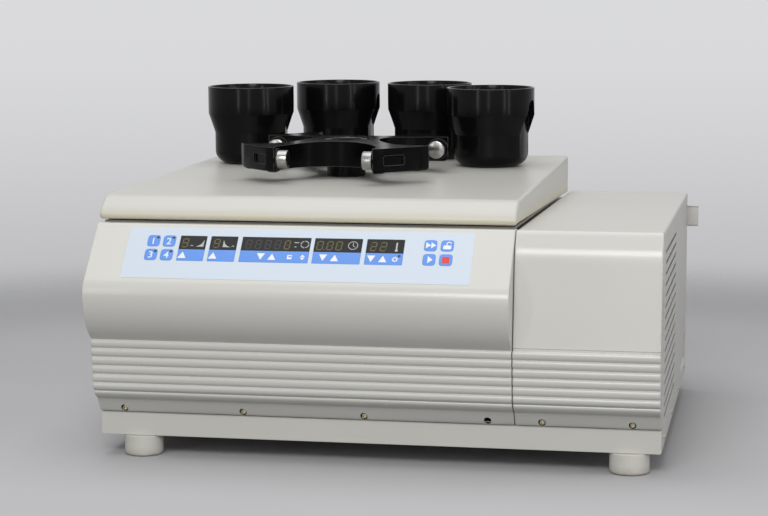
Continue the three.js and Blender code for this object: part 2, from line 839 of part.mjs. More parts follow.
// Striker under the front of the lid, and the lock bolt that slides into its window
function lidStriker() {
  const plate = block(chamberX - 14, chamberX + 14, strikerY - 2, strikerY + 2, lockZ - 14, linerUnder - gap);
  const flange = block(chamberX - 14, chamberX + 14, strikerY - 2, strikerY + 14, linerUnder - 2.3, linerUnder - gap);
  const window = block(chamberX - 8, chamberX + 8, strikerY - 5, strikerY + 5, lockZ - 8, lockZ + 8);
  return cut(joined(plate, flange), window);
}

addPart(centrifuge, 'lid_striker', lidStriker(), 'steel');

const lockBolt = block(chamberX - 5, chamberX + 5, strikerY + 6, strikerY + 58, lockZ - 5, lockZ + 5);
addPart(centrifuge, 'lid_lock_bolt', lockBolt, 'steel');

// Gas strut at the left of the chamber: a cylinder on the pan's stud and a rod up to the lid
const strutRod = 4;
const cylinderTop = strutFootZ + 122;

function strutCylinder() {
  const eye = rod('x', 9, strutX - 4, strutX + 4, strutFootY, strutFootZ, 20);
  const tube = rod('z', 8, strutFootZ + 4, cylinderTop, strutX, strutFootY, 20);
  const eyeBore = rod('x', strutStud + gap, strutX - 9, strutX + 9, strutFootY, strutFootZ, 20);
  const bore = rod('z', strutRod + 0.4, strutFootZ + 14, cylinderTop + 2, strutX, strutFootY, 16);
  return joined(eye, tube).subtract(eyeBore).subtract(bore);
}

addPart(centrifuge, 'strut_cylinder', strutCylinder(), 'blackPaint');

function strutRodPiece() {
  const shaft = rod('z', strutRod, strutFootZ + 18, strutTopZ - 4, strutX, strutFootY, 16);
  const eye = rod('x', 8, strutX - 3, strutX + 3, strutFootY, strutTopZ, 20);
  const eyeBore = rod('x', strutStud + gap, strutX - 5, strutX + 5, strutFootY, strutTopZ, 16);
  return joined(shaft, eye).subtract(eyeBore);
}

addPart(centrifuge, 'strut_rod', strutRodPiece(), 'steel');

// Lid top's own frame: x from the cabinet's left side, y back from the lid's front fold, z off the lid
const lidTop = new THREE.Group();
lidTop.position.set(left, lidFoldY, lidFoldZ);
lidTop.rotation.x = lidSlope;
centrifuge.add(lidTop);

// Rotor's own frame: a seat for a bucket faces each way along X and Y, and the arms run on the diagonals
const rotor = new THREE.Group();
rotor.position.set(261.5, 271.2, gap);
rotor.rotation.z = THREE.MathUtils.degToRad(-1.9);
lidTop.add(rotor);

// A shape made for the seat that faces +X, turned to another seat
function turnedTo(solid, quarterTurns) {
  return placed(solid, new THREE.Matrix4().makeRotationZ((quarterTurns * Math.PI) / 2));
}

function rotorCross() {
  const reach = armReach * Math.SQRT2;
  const diamond = [[reach, 0], [0, reach], [-reach, 0], [0, -reach]];
  let cross = alongZ(diamond, rotorUnder, hubTop);
  const seat = joined(
    rod('z', headFace, 0, 60, seatRadius, 0, 40),
    block(seatRadius, 260, -headFace, headFace, 0, 60),
  );
  const lugs = [-1, 1].map((side) => {
    const inner = side * headFace;
    const outer = side * (headFace + 11.3);
    return block(
      seatRadius - 14, seatRadius + 26, Math.min(inner, outer), Math.max(inner, outer), lugUnder, rotorTop - 6,
    );
  });
  const collars = [-1, 1].map((side) => {
    const ends = [side * collarFace, side * (headFace + 2)].sort((a, b) => a - b);
    return rod('y', collarRadius, ...ends, seatRadius, pinHeight, 24);
  });
  const sockets = [-1, 1].map((side) => {
    const from = Math.min(side * 60, side * (headFace + 9));
    const to = Math.max(side * 60, side * (headFace + 9));
    return rod('y', spigotRadius + gap, from, to, seatRadius, pinHeight, 12);
  });
  for (let quarter = 0; quarter < 4; quarter += 1) {
    cross = cross.subtract(turnedTo(seat, quarter));
  }
  for (let quarter = 0; quarter < 4; quarter += 1) {
    cross = joined(cross, ...[...lugs, ...collars].map((shape) => turnedTo(shape, quarter)));
    cross = cut(cross, ...sockets.map((socket) => turnedTo(socket, quarter)));
  }
  const turnedProfile = [
    [0, 0],
    [armSweep - 6, 0],
    [armSweep - 6, lugUnder],
    [armSweep - 1.8, lugUnder + 1.8],
    [armSweep, lugUnder + 6],
    [armSweep, rotorTop],
    [armShoulder, rotorTop],
    [hubShoulder, hubTop],
    [hubRecessRadius, hubTop],
    [hubRecessRadius, hubRecess],
    [0, hubRecess],
  ];
  cross = cross.intersect(turned(turnedProfile, 0, 0, 56));
  const boss = rod('z', 26.9, 0, rotorUnder + 1, 0, 0, 32);
  const plate = rod('z', hubPlateRadius, hubRecess - 2, hubPlateTop, 0, 0, 32);
  const bore = rod('z', 9.6, -1, 60, 0, 0, 24);
  return joined(cross, boss, plate).subtract(bore).subtract(headPockets());
}

// Shallow pockets in the arms' outer faces, nearer to the front seat or to the rear seat
function headPockets() {
  const pockets = [];
  for (const [armDegrees, shift] of [[-45, -13], [-135, 13], [45, 13], [135, -13]]) {
    const pocket = new THREE.BoxGeometry(6, 33, 13.5);
    pocket.translate(armReach, shift, 32.75);
    pocket.rotateZ(THREE.MathUtils.degToRad(armDegrees));
    pockets.push(solidOf(pocket));
  }
  return joined(...pockets);
}

addPart(rotor, 'rotor_cross', rotorCross(), 'blackAnodised');

const seats = ['right', 'rear', 'left', 'front'];
seats.forEach((seatName, quarter) => {
  for (const [end, side] of [['a', -1], ['b', 1]]) {
    const ends = [side * pinGap, side * (collarFace - gap)].sort((a, b) => a - b);
    const root = [side * (headFace - 4), side * (headFace + 8.5)].sort((a, b) => a - b);
    const pin = rod('y', pinRadius, ...ends, seatRadius, pinHeight, 20);
    const spigot = rod('y', spigotRadius, ...root, seatRadius, pinHeight, 12);
    addPart(rotor, `trunnion_pin_${seatName}_${end}`, turnedTo(pin.add(spigot), quarter), 'steel');
  }
});

// Round bucket: a wide collar over a slimmer body. On two opposite sides a slot runs up from the foot
// and narrows to a half-round socket in the collar, where the bucket hangs on a trunnion pin.
const slotFloor = 51.2;
const slotHalf = 19.5;
const socketRadius = pinRadius + 0.3;
const socketHeight = 83.8;
const cavityRadius = 46.5;

function bucketSolid(turnDegrees) {
  const collarBottom = 74.5;
  const neck = 46;
  const outside = [
    [0, 0],
    ...arc(bucketBody - 20, 20, 20, -90, 0, 4),
    [bucketBody, neck],
    [bucketRim, collarBottom],
    [bucketRim, bucketHeight - 1],
    [bucketRim - 1, bucketHeight],
  ];
  const inside = [
    [bucketRim - 3.8, bucketHeight],
    [bucketRim - 4.6, 101],
    [cavityRadius, 99.5],
    ...arc(cavityRadius - 9, 15, 9, 0, -90, 2),
    [0, 6],
  ];
  const slotOutline = [
    [-slotHalf, -1],
    [slotHalf, -1],
    [slotHalf, 69],
    ...arc(0, socketHeight, socketRadius, 0, 180, 8),
    [-slotHalf, 69],
  ];
  const body = turned([...outside, ...inside], 0, 0, 32);
  const slots = [
    alongX(slotOutline, slotFloor, 80),
    alongX(slotOutline, -80, -slotFloor),
  ];
  const slotted = cut(body, ...slots);
  return placed(slotted, new THREE.Matrix4().makeRotationZ(THREE.MathUtils.degToRad(turnDegrees)));
}

const buckets = [
  ['bucket_left', 79.8, 447.1, 4],
  ['bucket_back_left', 188.7, 560.4, -1.5],
  ['bucket_back_right', 333.7, 545.1, 3],
  ['bucket_right', 441.4, 440.4, -11.5],
];

for (const [name, x, y, turnDegrees] of buckets) {
  const bucket = addPart(lidTop, name, bucketSolid(turnDegrees), 'blackAnodised');
  bucket.position.set(x, y, gap);
}

export default centrifuge;
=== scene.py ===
"""The looks of a refrigerated benchtop centrifuge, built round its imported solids.

Points are worked out in millimetres in the part's own frame (+Z up, the keypad faces -Y) and
become metres as each mesh is made. The sections follow the machine as it is put together: base,
cabinet, cooling section, keypad, chamber, lid, rotor and buckets.
"""

from math import asin, cos, degrees, pi, radians, sin, sqrt, tan

import bmesh
import bpy
import numpy as np
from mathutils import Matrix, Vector


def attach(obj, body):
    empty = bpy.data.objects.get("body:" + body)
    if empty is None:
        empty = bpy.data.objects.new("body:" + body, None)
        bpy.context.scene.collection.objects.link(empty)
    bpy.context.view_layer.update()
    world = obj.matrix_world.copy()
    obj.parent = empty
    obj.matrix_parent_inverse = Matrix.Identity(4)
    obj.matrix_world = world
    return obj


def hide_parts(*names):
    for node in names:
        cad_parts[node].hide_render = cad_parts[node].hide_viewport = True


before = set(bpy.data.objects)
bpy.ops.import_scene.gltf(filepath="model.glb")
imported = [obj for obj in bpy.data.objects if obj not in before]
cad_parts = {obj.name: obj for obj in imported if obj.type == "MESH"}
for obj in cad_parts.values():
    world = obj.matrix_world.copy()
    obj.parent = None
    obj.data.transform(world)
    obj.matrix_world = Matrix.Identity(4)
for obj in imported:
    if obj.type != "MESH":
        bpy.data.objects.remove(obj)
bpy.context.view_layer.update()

# Camera: stands 2.8 m in front of the machine and to its right, a little above the buckets' rims,
# with a long lens, so that the front and a thin strip of the right side show.
camera_data = bpy.data.cameras.new("camera")
camera_data.lens = 95.7
camera_data.sensor_width = 36
camera = bpy.data.objects.new("camera", camera_data)
camera.location = (0.4911, -2.7882, 0.5395)
camera.rotation_euler = (radians(90 - 6.205), 0, radians(10.872))
bpy.context.scene.collection.objects.link(camera)
bpy.context.scene.camera = camera
bpy.context.scene.view_settings.view_transform = "Standard"


# Studio: a round matt floor that fades into a pale surround, large softboxes overhead, in front and
# to the right, and slim upright strips that draw the bright lines on polished black.
def colour(code):
    """sRGB hex to linear: each channel c gives ((c + 0.055) / 1.055) ** 2.4, or c / 12.92 when dark."""
    channels = [int(code[i:i + 2], 16) / 255 for i in (1, 3, 5)]
    return [c / 12.92 if c <= 0.04045 else ((c + 0.055) / 1.055) ** 2.4 for c in channels] + [1.0]


def add_node(material, kind, inputs=(), **settings):
    """Adds one node with its settings. Each input is a socket's name or number, with a value or
    another node's output."""
    node = material.node_tree.nodes.new(kind)
    for name, value in settings.items():
        setattr(node, name, value)
    for socket, value in inputs:
        if isinstance(value, bpy.types.NodeSocket):
            material.node_tree.links.new(value, node.inputs[socket])
        else:
            node.inputs[socket].default_value = value
    return node


def new_material(name):
    """An empty material, ready for its nodes."""
    material = bpy.data.materials.new(name)
    material.use_nodes = True
    material.node_tree.nodes.clear()
    return material


def grain(material, size, detail=2.0):
    """Soft noise with features of a size in metres, held to the piece by its Object coordinates."""
    place = add_node(material, "ShaderNodeTexCoord")
    return add_node(
        material, "ShaderNodeTexNoise",
        [("Vector", place.outputs["Object"]), ("Scale", 1 / size), ("Detail", detail)],
    ).outputs[0]


def clouded(material, size, first, second, detail=2.0):
    """A colour that drifts from the first to the second as that grain goes from 0 to 1."""
    return add_node(
        material, "ShaderNodeMix",
        [(0, grain(material, size, detail)), (6, colour(first)), (7, colour(second))], data_type="RGBA",
    ).outputs[2]


def shown(material, dim, seen):
    """The seen colour for the rays that camera, mirrors and glass send out, and a dimmer one for
    those that carry light."""
    ray = add_node(material, "ShaderNodeLightPath")
    share = ray.outputs["Is Camera Ray"]
    for kind in ("Is Glossy Ray", "Is Transmission Ray"):
        share = add_node(
            material, "ShaderNodeMath", [(0, share), (1, ray.outputs[kind])], operation="MAXIMUM"
        ).outputs[0]
    return add_node(material, "ShaderNodeMix", [(0, share), (6, dim), (7, seen)], data_type="RGBA").outputs[2]


def stacked(rings, closed=False):
    """Rings of points, each going once round, are joined in order; the two ends are capped or, if
    closed, joined."""
    rings = np.asarray(rings, float)
    count, steps = rings.shape[:2]
    index = np.arange(count * steps).reshape(count, steps)
    below = index if closed else index[:-1]
    above = np.roll(index, -1, 0) if closed else index[1:]
    faces = np.stack([below, np.roll(below, -1, 1), np.roll(above, -1, 1), above], -1).reshape(-1, 4).tolist()
    if not closed:
        faces += [index[0][::-1].tolist(), index[-1].tolist()]
    return rings.reshape(-1, 3), faces


def revolved(outline, x=0.0, y=0.0, steps=96, closed=False):
    """Each [radius, height] point of the outline sweeps a circle about the upright axis at (x, y)."""
    outline = np.asarray(outline, float)
    turn = np.linspace(0, 2 * pi, steps, endpoint=False)
    rings = np.stack([
        x + outline[:, :1] * np.cos(turn), y + outline[:, :1] * np.sin(turn),
        np.repeat(outline[:, 1:2], steps, 1),
    ], -1)
    return stacked(rings, closed)


def mesh_object(name, surface, sharp=32):
    """Makes an object at the origin from points in mm. Doubled points are joined, and the faces
    are turned outwards."""
    points, faces = surface
    mesh = bpy.data.meshes.new(name)
    mesh.from_pydata((np.asarray(points) / 1000).tolist(), [], faces)
    edit = bmesh.new()
    edit.from_mesh(mesh)
    bmesh.ops.remove_doubles(edit, verts=edit.verts, dist=2e-6)
    loose = [v for v in edit.verts if not v.link_faces]
    bmesh.ops.delete(edit, geom=loose, context="VERTS")
    bmesh.ops.recalc_face_normals(edit, faces=edit.faces)
    edit.to_mesh(mesh)
    edit.free()
    mesh.shade_smooth()
    mesh.set_sharp_from_angle(angle=radians(sharp))
    made = bpy.data.objects.new(name, mesh)
    bpy.context.scene.collection.objects.link(made)
    return made


FLOOR_RADIUS, FADE_START, FADE_END = 2400, 1.0, 2.3
floor = mesh_object("studio_floor", revolved([[FLOOR_RADIUS, -20], [FLOOR_RADIUS, 0]]))
paper = new_material("matt_studio_paper")
paper_face = add_node(paper, "ShaderNodeBsdfPrincipled", [
    ("Base Color", shown(paper, colour("#78787A"), clouded(paper, 1 / 3, "#C4C4C6", "#CACACC", 3.0))),
    ("Roughness", 0.9),
])
paper_place = add_node(paper, "ShaderNodeTexCoord")
paper_reach = add_node(
    paper, "ShaderNodeVectorMath", [(0, paper_place.outputs["Object"])], operation="LENGTH"
)
paper_fade = add_node(
    paper, "ShaderNodeMapRange",
    [("Value", paper_reach.outputs["Value"]), ("From Min", FADE_START), ("From Max", FADE_END)],
    interpolation_type="SMOOTHSTEP",
)
paper_gone = add_node(paper, "ShaderNodeBsdfTransparent")
paper_blend = add_node(
    paper, "ShaderNodeMixShader",
    [(0, paper_fade.outputs[0]), (1, paper_face.outputs[0]), (2, paper_gone.outputs[0])],
)
add_node(paper, "ShaderNodeOutputMaterial", [("Surface", paper_blend.outputs[0])])
floor.data.materials.append(paper)

# The surround is pale wherever it is seen or mirrored, a little greyer below the horizon. Both it
# and the floor light the machine more softly, at a mid grey.
world = bpy.data.worlds.new("studio_air")
world.use_nodes = True
bpy.context.scene.world = world
look = add_node(world, "ShaderNodeTexCoord")
look_height = add_node(world, "ShaderNodeSeparateXYZ", [(0, look.outputs["Generated"])])
air_rise = add_node(
    world, "ShaderNodeMapRange",
    [("Value", look_height.outputs["Z"]), ("From Min", -0.17), ("From Max", 0.01)],
    interpolation_type="SMOOTHSTEP",
)
air_seen = add_node(
    world, "ShaderNodeMix",
    [(0, air_rise.outputs[0]), (6, colour("#B4B4B6")), (7, colour("#DADADC"))], data_type="RGBA",
)
air_shown = shown(world, (0.295, 0.295, 0.30, 1.0), air_seen.outputs[2])
world.node_tree.links.new(air_shown, world.node_tree.nodes["Background"].inputs["Color"])


def softbox(name, place, aim, width, height, power):
    """A rectangular lamp that faces the point it is aimed at; sizes in metres, power in watts."""
    lamp = bpy.data.lights.new(name, "AREA")
    lamp.shape = "RECTANGLE"
    lamp.size, lamp.size_y, lamp.energy = width, height, power
    made = bpy.data.objects.new(name, lamp)
    made.location = place
    made.rotation_euler = (Vector(aim) - Vector(place)).to_track_quat("-Z", "Y").to_euler()
    bpy.context.scene.collection.objects.link(made)


softbox("overhead_softbox", (-0.3, 0.0, 2.7), (0.0, 0.0, 0.3), 2.4, 2.0, 25)
softbox("front_softbox", (0.1, -2.95, 2.05), (0.0, -0.2, 0.25), 1.5, 0.7, 27)
softbox("low_front_softbox", (0.3, -3.3, 1.75), (0.0, 0.0, 0.35), 1.2, 0.25, 12)
softbox("right_softbox", (3.0, -0.8, 1.5), (0.3, 0.0, 0.2), 1.0, 1.0, 7)
STRIP_Z, STRIP_LENGTH = 0.75, 1.3
for strip_name, x, y, strip_width, strip_power in (
    ("left_strip", -1.26, -2.62, 0.09, 4.6), ("middle_strip", 0.21, -3.1, 0.24, 3.0),
    ("right_strip_a", 2.09, -1.90, 0.06, 3.8), ("right_strip_b", 2.45, -1.43, 0.06, 3.8),
):
    softbox(strip_name, (x, y, STRIP_Z), (0.0, 0.2, STRIP_Z), strip_width, STRIP_LENGTH, strip_power)


# Base pan: folded sheet steel with the full-width front skirt, painted like the cabinet with a
# fine-textured off-white powder coat. Its left post and stud carry the lid's gas strut.
def merged(*surfaces):
    """Several shapes as one: each one's corners are counted on from the points before it."""
    points, faces = [], []
    start = 0
    for some_points, some_faces in surfaces:
        points.append(some_points)
        faces += [[corner + start for corner in face] for face in some_faces]
        start += len(some_points)
    return np.concatenate(points), faces


def box(x0, x1, y0, y1, z0, z1):
    """A block between its limits along X, Y and Z."""
    ring = [[x0, y0], [x1, y0], [x1, y1], [x0, y1]]
    return stacked([[[x, y, z] for x, y in ring] for z in (z0, z1)])


def rounded_rectangle(x0, x1, y0, y1, radius, steps=6):
    """Corner by corner, the points at an even turn round each corner's centre."""
    turn = np.radians(np.linspace(0, 90, steps))
    corners = [(x1, y1, 0), (x0, y1, 1), (x0, y0, 2), (x1, y0, 3)]
    return np.concatenate([
        np.stack([
            x + radius * (np.cos(turn + k * pi / 2) - (1 if k in (0, 3) else -1)),
            y + radius * (np.sin(turn + k * pi / 2) - (1 if k in (0, 1) else -1)),
        ], 1) for x, y, k in corners
    ])


def bar(axis, outline, start, end):
    """An outline carried straight along X, Y or Z, capped at both ends."""
    outline = np.asarray(outline, float)
    order = {"x": (2, 0, 1), "y": (0, 2, 1), "z": (0, 1, 2)}[axis]
    rings = [np.column_stack([outline, np.full(len(outline), at)])[:, order] for at in (start, end)]
    return stacked(rings)


def circle(a, b, radius, steps=48):
    """Evenly spaced points at one radius round (a, b)."""
    turn = np.linspace(0, 2 * pi, steps, endpoint=False)
    return np.stack([a + radius * np.cos(turn), b + radius * np.sin(turn)], 1)


def finished(piece, material, body, nodes=(), bevel=0.0):
    """Gives a piece its material and a bevelled edge, and says what it rides on and stands for."""
    if material is not None:
        piece.data.materials.append(material)
    if bevel:
        rounding = piece.modifiers.new("edge_rounding", "BEVEL")
        rounding.width = bevel / 1000
        rounding.segments = 2
        rounding.limit_method = "ANGLE"
        rounding.angle_limit = radians(40)
        rounding.harden_normals = True
    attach(piece, body)
    if nodes:
        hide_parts(*nodes)


def close_material(material, sockets):
    """Ends a material with its surface, whose sockets are given as add_node takes them."""
    surface = add_node(material, "ShaderNodeBsdfPrincipled", sockets)
    add_node(material, "ShaderNodeOutputMaterial", [("Surface", surface.outputs[0])])
    return material


def textured(material, pattern, roughness, strength, depth=0.0003):
    """Sockets for a bump that follows a pattern. Roughness follows it too, where it is a pair."""
    bump = add_node(
        material, "ShaderNodeBump", [("Height", pattern), ("Strength", strength), ("Distance", depth)]
    )
    if isinstance(roughness, tuple):
        roughness = add_node(
            material, "ShaderNodeMapRange",
            [("Value", pattern), ("To Min", roughness[0]), ("To Max", roughness[1])],
        ).outputs[0]
    return [("Roughness", roughness), ("Normal", bump.outputs[0])]


def low_down(material, low, high, most=1.0):
    """A share that falls evenly from most to 0 as the height goes from low to high, in metres."""
    place = add_node(material, "ShaderNodeTexCoord")
    height = add_node(material, "ShaderNodeSeparateXYZ", [(0, place.outputs["Object"])])
    return add_node(
        material, "ShaderNodeMapRange",
        [("Value", height.outputs["Z"]), ("From Min", low), ("From Max", high),
         ("To Min", most), ("To Max", 0.0)],
    ).outputs[0]


def powder_coat(name, light, dark, gloss, yellowed=None):
    """Powder coat: a satin film with a faint orange peel. The peel is drawn at 3 mm, coarser than
    the real 1 mm, so that it shows; a slow cloud of tone, 150 mm across, is age and handling.
    yellowed gives a colour and the two heights between which an edge turns to it, going down: a painted
    highlight."""
    paint = new_material(name)
    tone = clouded(paint, 0.15, light, dark, 3.0)
    # A cream tint that grows towards the bottom of an edge: a painted highlight.
    if yellowed:
        edge, low, high = yellowed
        tone = add_node(
            paint, "ShaderNodeMix", [(0, low_down(paint, low, high)), (6, tone), (7, colour(edge))],
            data_type="RGBA",
        ).outputs[2]
    film = textured(paint, grain(paint, 0.003), (gloss - 0.04, gloss + 0.05), 0.07)
    return close_material(paint, [("Base Color", tone), ("IOR", 1.5), *film])


LEFT, RIGHT, FRONT, REAR = -360.0, 360.0, -296.0, 349.0
cabinet_paint = powder_coat("off_white_powder_coat", "#D9D8D1", "#D3D2CB", 0.40)
strut_x, strut_foot_y, strut_foot_z = -343.0, FRONT + 564, 108.0
PAN_LEFT, PAN_RIGHT, PAN_REAR = LEFT + 2.3, RIGHT - 2.3, REAR - 2.3
PAN_LOW, PAN_HIGH, SKIRT_TOP = 27, 54, 57.3
pan = mesh_object("base_pan_folded", merged(
    box(PAN_LEFT, PAN_RIGHT, FRONT + 0.3, PAN_REAR, PAN_LOW, PAN_LOW + 2.5),
    bar("y", rounded_rectangle(LEFT, RIGHT, PAN_LOW, SKIRT_TOP, 2.5), FRONT, FRONT + 2),
    box(PAN_LEFT, PAN_LEFT + 2, FRONT + 1, PAN_REAR, PAN_LOW, PAN_HIGH),
    box(PAN_RIGHT - 2, PAN_RIGHT, FRONT + 1, PAN_REAR, PAN_LOW, PAN_HIGH),
    box(PAN_LEFT, PAN_RIGHT, PAN_REAR - 2, PAN_REAR, PAN_LOW, PAN_HIGH),
    box(strut_x + 10, strut_x + 14, strut_foot_y - 12, strut_foot_y + 12, 28, strut_foot_z + 12),
    bar("x", circle(strut_foot_y, strut_foot_z, 4), strut_x - 6, strut_x + 11),
))
finished(pan, cabinet_paint, "cabinet", ["base_pan"], bevel=0.5)

# Feet: four turned pads of hard off-white rubber, each with a soft lower edge and a counterbored
# screw underneath. They are quite matt, and brown dirt from the bench has settled low on them.
def curve(a, b, radius, start, end, steps):
    """Points on a circle's arc from one angle to another, in degrees."""
    turn = np.radians(np.linspace(start, end, steps))
    return np.stack([a + radius * np.cos(turn), b + radius * np.sin(turn)], 1)


foot_rubber = new_material("off_white_hard_rubber")
foot_tone = clouded(foot_rubber, 0.02, "#E6E4DC", "#D2D0C7", 4.0)
foot_dirt = add_node(
    foot_rubber, "ShaderNodeMath",
    [(0, low_down(foot_rubber, 0.0, 0.012, 0.8)), (1, grain(foot_rubber, 0.02, 4.0))], operation="MULTIPLY",
)
foot_colour = add_node(
    foot_rubber, "ShaderNodeMix",
    [(0, foot_dirt.outputs[0]), (6, foot_tone), (7, colour("#8C8066"))], data_type="RGBA",
)
foot_skin = textured(foot_rubber, grain(foot_rubber, 0.002), 0.72, 0.3)
close_material(foot_rubber, [("Base Color", foot_colour.outputs[2]), *foot_skin])
foot_outline = np.concatenate([
    [[0, 6], [6.5, 6], [6.5, 0.6], [7.2, 0]], curve(21, 4, 4, -90, 0, 7),
    [[25, 25.8], [24.1, 26.7], [0, 26.7]],
])
for node, x, y in (
    ("foot_front_left", -308, FRONT + 16), ("foot_front_right", 320, FRONT + 16),
    ("foot_rear_left", -308, REAR - 45), ("foot_rear_right", 320, REAR - 45),
):
    foot = mesh_object(node + "_turned", revolved(foot_outline, x, y, 64))
    finished(foot, foot_rubber, "cabinet", [node])

# Front cowl: a painted moulding. The slanted panel rolls over a nose into a hollow belly, seven
# soft ribs run right across below it, and a plain band under them takes the fixing screws.
def joined_faces(outer, inner, keep=None, capped=False):
    """Two grids of points with the same rows and columns become the two sides of a wall.

    Cells where keep is false are left open, and every border gets faces from one side to the
    other. When capped, the first and last rows are closed flat and the columns' ends stay open."""
    rows, columns = outer.shape[:2]
    count = rows * columns
    index = np.arange(count).reshape(rows, columns)
    keep = np.ones((rows - 1, columns - 1), bool) if keep is None else keep
    corner = np.stack([index[:-1, :-1], index[:-1, 1:], index[1:, 1:], index[1:, :-1]], -1)[keep]
    faces = corner.tolist() + (corner[:, ::-1] + count).tolist()
    padded = np.pad(keep, 1)
    along = padded[:-1, 1:-1] != padded[1:, 1:-1]
    across = padded[1:-1, :-1] != padded[1:-1, 1:]
    if capped:
        along[0] = along[-1] = False
        for row in (0, -1):
            faces += [index[row].tolist(), (index[row][::-1] + count).tolist()]
            faces.append([index[row, 0], index[row, -1], index[row, -1] + count, index[row, 0] + count])
    for border, down, right in ((along, 0, 1), (across, 1, 0)):
        i, j = np.nonzero(border)
        here, there = index[i, j], index[i + down, j + right]
        faces += np.stack([here, there, there + count, here + count], -1).tolist()
    return np.concatenate([outer.reshape(-1, 3), inner.reshape(-1, 3)]), faces


CABINET_TOP = 302.3
FASCIA_TOP = FRONT - 5.8
SLANT = radians(48.96)
NOSE_Y, NOSE_Z, NOSE_R = FRONT - 40.8, 217.0, 29.6
BELLY_Y, BELLY_R = FRONT + 1.6, 72.0
RIB_TOP, RIB_COUNT, RIB_PITCH, RIB_DEPTH = 156.8, 7, 11.35, 2.8
SEAM, WALL = 178.5, 3.0


def rib_face(z):
    """The band leans in by 0.12 mm a millimetre as it goes down, and curls under below 97 mm."""
    return FRONT - 41.3 + 0.12 * (RIB_TOP - z) + 0.03 * np.maximum(0, 97 - z) ** 2


def rib_outlines():
    """Each rib stands out by depth * (1 - |2t - 1| ** 2.6), t going from 0 to 1 down its width."""
    share = np.linspace(0, RIB_COUNT, RIB_COUNT * 16 + 1)
    z = RIB_TOP - share * RIB_PITCH
    within = share - np.floor(np.minimum(share, RIB_COUNT - 1e-9))
    outer = np.stack([rib_face(z) + RIB_DEPTH * np.abs(2 * within - 1) ** 2.6, z], 1)
    inside_z = [60, 64, 80, 102, RIB_TOP]
    inside_y = FRONT - np.array([1, 4, 16.5, 29, 35.5])
    inner = np.stack([np.interp(z, inside_z, inside_y), z], 1)
    return outer, inner


def lower_band():
    """The plain band under the ribs, down to its turned-in lower edge, outside and inside."""
    z = np.array([75.95, 74, 71, 68, 65, 62, 60.4, 59.2, 58.4, 58])
    outer_z = [58, 58.4, 59.2, 60.4, 62, 75.95]
    outer_y = FRONT - np.array([1.2, 3.4, 4.8, 6.0, 7.2, 16.4])
    outer = np.stack([np.interp(z, outer_z, outer_y), z], 1)
    inner_y = np.interp(z, [58, 64, 80], [FRONT + 3, FRONT - 3.6, FRONT - 14])
    inner = np.stack([inner_y, np.maximum(z, 61.3)], 1)
    inner[-4:, 1] = np.linspace(61.3, 61.0, 4)
    inner[-4:, 0] = np.linspace(FRONT - 0.5, FRONT + 1.5, 4)
    return outer, inner


def slant_point(down, depth=0.0):
    """A point of the slanted panel, at a distance down from its top edge and a depth below its face."""
    down = np.asarray(down, float)
    y = FASCIA_TOP - down * cos(SLANT) + depth * sin(SLANT)
    z = CABINET_TOP - down * sin(SLANT) - depth * cos(SLANT)
    return np.stack([y, z], -1)


def outline_pair(sections):
    """Joins the sections' outer lines into one, and their inner lines into another."""
    return [np.concatenate([section[side] for section in sections]) for side in (0, 1)]


def normals(line):
    """Each point's unit normal: the direction between its neighbours, turned a quarter."""
    way = np.gradient(line, axis=0)
    way /= np.maximum(np.linalg.norm(way, axis=1, keepdims=True), 1e-9)
    return np.stack([-way[:, 1], way[:, 0]], 1)


def carried(outline, inner, x0, x1, rounding, keep_stations=()):
    """Carries a front's outline along X. Near each end it shrinks inwards, along its own normals,
    on a quarter circle. The inner line is carried straight, from wall to wall."""
    turn = np.radians(np.linspace(0, 90, 7))
    shrink, advance = rounding * (1 - np.sin(turn)), rounding * (1 - np.cos(turn))
    middle = sorted({*np.linspace(x0 + rounding + 1, x1 - rounding - 1, 9), *keep_stations})
    stations = np.concatenate([x0 + advance, middle, x1 - advance[::-1]])
    inset = np.concatenate([shrink, np.zeros(len(middle)), shrink[::-1]])
    inward = normals(outline)
    inward *= np.sign(np.sum(inward * (outline.mean(0) - outline)))
    shifted = outline[None] + inset[:, None, None] * inward[None]
    grid = np.concatenate([np.repeat(stations[:, None, None], len(outline), 1), shifted], -1)
    share = (stations - x0) / (x1 - x0)
    inner_x = x0 + WALL + share * (x1 - x0 - 2 * WALL)
    inner_grid = np.concatenate([
        np.repeat(inner_x[:, None, None], len(inner), 1), np.repeat(inner[None], len(stations), 0)
    ], -1)
    return grid, inner_grid, stations


nose_start = 180 - degrees(pi / 2 - SLANT)
belly_end = 180 + degrees(asin((NOSE_Z - RIB_TOP) / BELLY_R))
window_x, window_down = (LEFT + 52, LEFT + 484), (8.0, 79.0)
slant_steps = np.array([3.0, *window_down, 83.0])
top_back = np.linspace(FRONT + 12, FASCIA_TOP + 2.6, 4)
fold = curve(FASCIA_TOP + 1.36, CABINET_TOP - 3.0, 3.0, 90, nose_start, 6)
cowl_outer, cowl_inner = outline_pair([
    (np.stack([top_back, np.full(4, CABINET_TOP)], 1),
     np.stack([top_back + 2, np.full(4, CABINET_TOP - WALL)], 1)),
    (fold, fold + [2.0, -3.1]),
    (slant_point(slant_steps), slant_point(slant_steps, WALL)),
    [curve(NOSE_Y, NOSE_Z, radius, nose_start, 180, 20) for radius in (NOSE_R, NOSE_R - WALL)],
    (curve(BELLY_Y, NOSE_Z, BELLY_R, 182, belly_end, 32),
     curve(BELLY_Y, NOSE_Z, BELLY_R - WALL, 182, belly_end - 2, 32)),
    rib_outlines(),
    lower_band(),
])
cowl_grid, cowl_inside, cowl_stations = carried(cowl_outer, cowl_inner, LEFT, SEAM, 1.6, window_x)
window_rows = (cowl_stations[:-1] >= window_x[0] - 0.01) & (cowl_stations[1:] <= window_x[1] + 0.01)
window_column = np.arange(len(cowl_outer) - 1) == len(top_back) + len(fold) + 1
cowl = mesh_object("front_cowl_moulding", joined_faces(
    cowl_grid, cowl_inside, ~(window_rows[:, None] & window_column[None, :]), capped=True,
), sharp=38)
